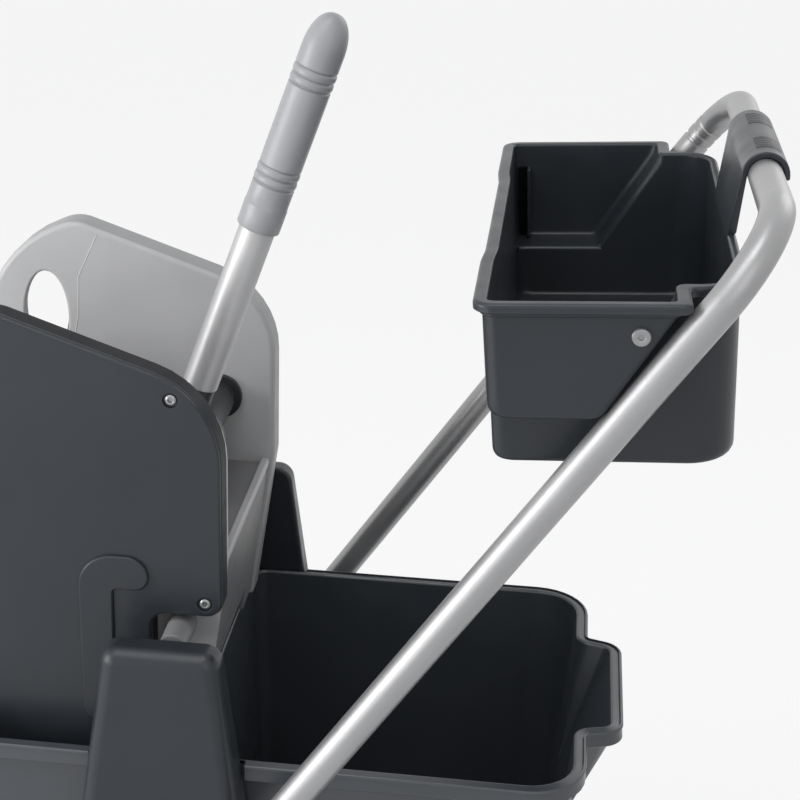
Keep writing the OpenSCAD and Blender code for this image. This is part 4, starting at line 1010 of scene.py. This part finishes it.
def tyreLine(v):
    r, seat, half, g = v["radius"], v["seat"], v["half"], v["grooveHalf"]
    out, up = v["seatEdge"]
    side = [(seat, up - half), (seat + out, -half)]
    side += [(r - fall, rise - half) for fall, rise in quarter(v["shoulder"])]
    line, flat, low = list(side), g * v["floorShare"], r - v["deep"]
    for at in v["grooves"]:
        line += [(r, at - g), (low, at - flat), (low, at + flat), (r, at + g)]
    return line + [(a, -b) for a, b in reversed(side)]


def makeTyre(v, name, node):
    low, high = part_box(node)
    place = Matrix.Translation((low + high) / 2) @ Matrix.Rotation(math.pi / 2, 4, "X") @ Matrix.Scale(mm, 4)
    endPiece(name, lathe(tyreLine(v), place, v["sides"], closed=True), node, angle=40)


for corner, name in casters.items():
    makeTyre(tyreSet, "groovedTyre" + name, "tyre_" + corner)
print("tyres made")


# nodes whose shape is right get rounded edges, in millimetres

dressSet = {"weld": 5e-6, "flat": 0.5, "sharp": 32}
roundedEdges = {
    "chassis_base": 1.2, "caster_plates": 0.6, "plate_bolts": 0.5,
    "kingpins": 0.5, "post_screws": 0.4, "handle_bolts": 0.8,
    "rest_rail": 1.0, "rear_bridge": 0.8, "strainer": 0.6, "shaft_bushes": 0.6,
    "return_springs": 0.3, "press_shaft": 0.5, "press_jaw": 1.0,
}
for corner in casters:
    roundedEdges.update({"fork_" + corner: 0.8, "axle_" + corner: 0.6, "hub_" + corner: 0.8})


def dressNode(v, node, width):
    bm = bmesh.new()
    bm.from_mesh(frame["nodes"][node].data)
    bmesh.ops.remove_doubles(bm, verts=bm.verts, dist=v["weld"])
    bmesh.ops.dissolve_limit(bm, angle_limit=math.radians(v["flat"]), verts=bm.verts, edges=bm.edges)
    bevelEdges(bm, sharpEdges(bm, v["sharp"]), width * mm)
    first, *others = node.split("_")
    name = first + "".join(word.capitalize() for word in others)
    # the rear bridge takes the darker grey copy of the pale plastic as painted shade
    endPiece(name, bm, node, finish="painted_shade_plastic" if node == "rear_bridge" else None)


for node, width in roundedEdges.items():
    dressNode(dressSet, node, width)
print("nodes dressed:", len(roundedEdges))


# stage, light and camera

stageSet = {"floorSize": 14.0, "floorColour": (0.86, 0.86, 0.87), "floorRough": 0.9, "floorGlow": 0.85,
            "fill": 0.42, "fillColour": (0.96, 0.98, 1)}


def seenRays(tree):
    path = tree.nodes.new("ShaderNodeLightPath")
    total = path.outputs["Is Camera Ray"]
    for ray in ("Is Glossy Ray", "Is Transmission Ray"):
        total = joinMath(tree, "MAXIMUM", total, path.outputs[ray])
    return total


def mixShaders(tree, share, lit, seen, output):
    mix = tree.nodes.new("ShaderNodeMixShader")
    tree.links.new(share, mix.inputs["Fac"])
    tree.links.new(lit, mix.inputs[1])
    tree.links.new(seen, mix.inputs[2])
    tree.links.new(mix.outputs["Shader"], tree.nodes[output].inputs["Surface"])


def makeFloor(v):
    bm = bmesh.new()
    bmesh.ops.create_grid(bm, x_segments=1, y_segments=1, size=v["floorSize"] / 2)
    mesh = bpy.data.meshes.new("floor")
    bm.to_mesh(mesh)
    bm.free()
    floor = addObject("floor", mesh)
    finish, tree, shader = newFinish("paleFloor")[:3]
    shader.inputs["Base Color"].default_value = (*v["floorColour"], 1)
    shader.inputs["Roughness"].default_value = v["floorRough"]
    glow = tree.nodes.new("ShaderNodeEmission")
    share = between(tree, seenRays(tree), 0, v["floorGlow"], 0, 1)
    mixShaders(tree, share, shader.outputs["BSDF"], glow.outputs["Emission"], "Material Output")
    mesh.materials.append(finish)


def makeWorld(v):
    world = bpy.data.worlds.new("whiteStudio")
    scene.world = world
    world.use_nodes = True
    tree = world.node_tree
    seen = tree.nodes["Background"]
    seen.inputs["Color"].default_value = (1, 1, 1, 1)
    seen.inputs["Strength"].default_value = 1
    fill = tree.nodes.new("ShaderNodeBackground")
    fill.inputs["Color"].default_value = (*v["fillColour"], 1)
    fill.inputs["Strength"].default_value = v["fill"]
    mixShaders(tree, seenRays(tree), fill.outputs["Background"], seen.outputs["Background"], "World Output")


lightSet = {"aim": (midX, 0, 0.55), "boxes": {
    "keyBox": {"at": (-0.6, -1.0, 2.4), "size": 1.2, "power": 9},
    "sideBox": {"at": (-2.0, -0.95, 0.95), "size": 1.3, "power": 30},
    "frontBox": {"at": (0.9, -2.0, 1.7), "size": 1.4, "power": 5},
    "lowBox": {"at": (-1.2, -1.55, 0.47), "size": 0.9, "power": 4.5},
    "topBox": {"at": (0.1, -0.5, 2.5), "size": 0.6, "power": 5},
    "backBox": {"at": (1.4, 1.5, 1.8), "size": 1.2, "power": 6},
}}


def makeLights(v):
    for name, softBox in v["boxes"].items():
        lamp = bpy.data.lights.new(name, "AREA")
        lamp.shape = "SQUARE"
        lamp.size = softBox["size"]
        lamp.energy = softBox["power"]
        light = addObject(name, lamp)
        light.location = softBox["at"]
        light.rotation_euler = (Vector(v["aim"]) - light.location).to_track_quat("-Z", "Y").to_euler()


# the photograph's own view, found from the handle legs, rims, post tops and wringer corners
cameraSet = {"at": (0.2438, -1.3979, 1.2434), "yaw": -8.33, "pitch": 21.68, "roll": 0.59, "focal": 1824.0,
             "centre": (301.43, 404.37), "frame": 800, "sensor": 36, "clip": 0.05}


def makeCamera(v):
    yaw, pitch, roll = (math.radians(v[k]) for k in ("yaw", "pitch", "roll"))
    ahead = Vector((math.sin(yaw) * math.cos(pitch), math.cos(yaw) * math.cos(pitch), -math.sin(pitch)))
    level = Vector((math.cos(yaw), -math.sin(yaw), 0))
    upright = level.cross(ahead)
    right = level * math.cos(roll) + upright * math.sin(roll)
    up = upright * math.cos(roll) - level * math.sin(roll)
    lens = bpy.data.cameras.new("photoCamera")
    lens.sensor_width = v["sensor"]
    lens.lens = v["focal"] / v["frame"] * v["sensor"]
    lens.shift_x = 0.5 - v["centre"][0] / v["frame"]
    lens.shift_y = v["centre"][1] / v["frame"] - 0.5
    lens.clip_start = v["clip"]
    camera = addObject("photoCamera", lens)
    camera.matrix_world = Matrix.Translation(v["at"]) @ Matrix((right, up, -ahead)).transposed().to_4x4()
    scene.camera = camera


makeFloor(stageSet)
makeWorld(stageSet)
makeLights(lightSet)
makeCamera(cameraSet)
scene.view_settings.view_transform = "Standard"
print("stage, light and camera set")
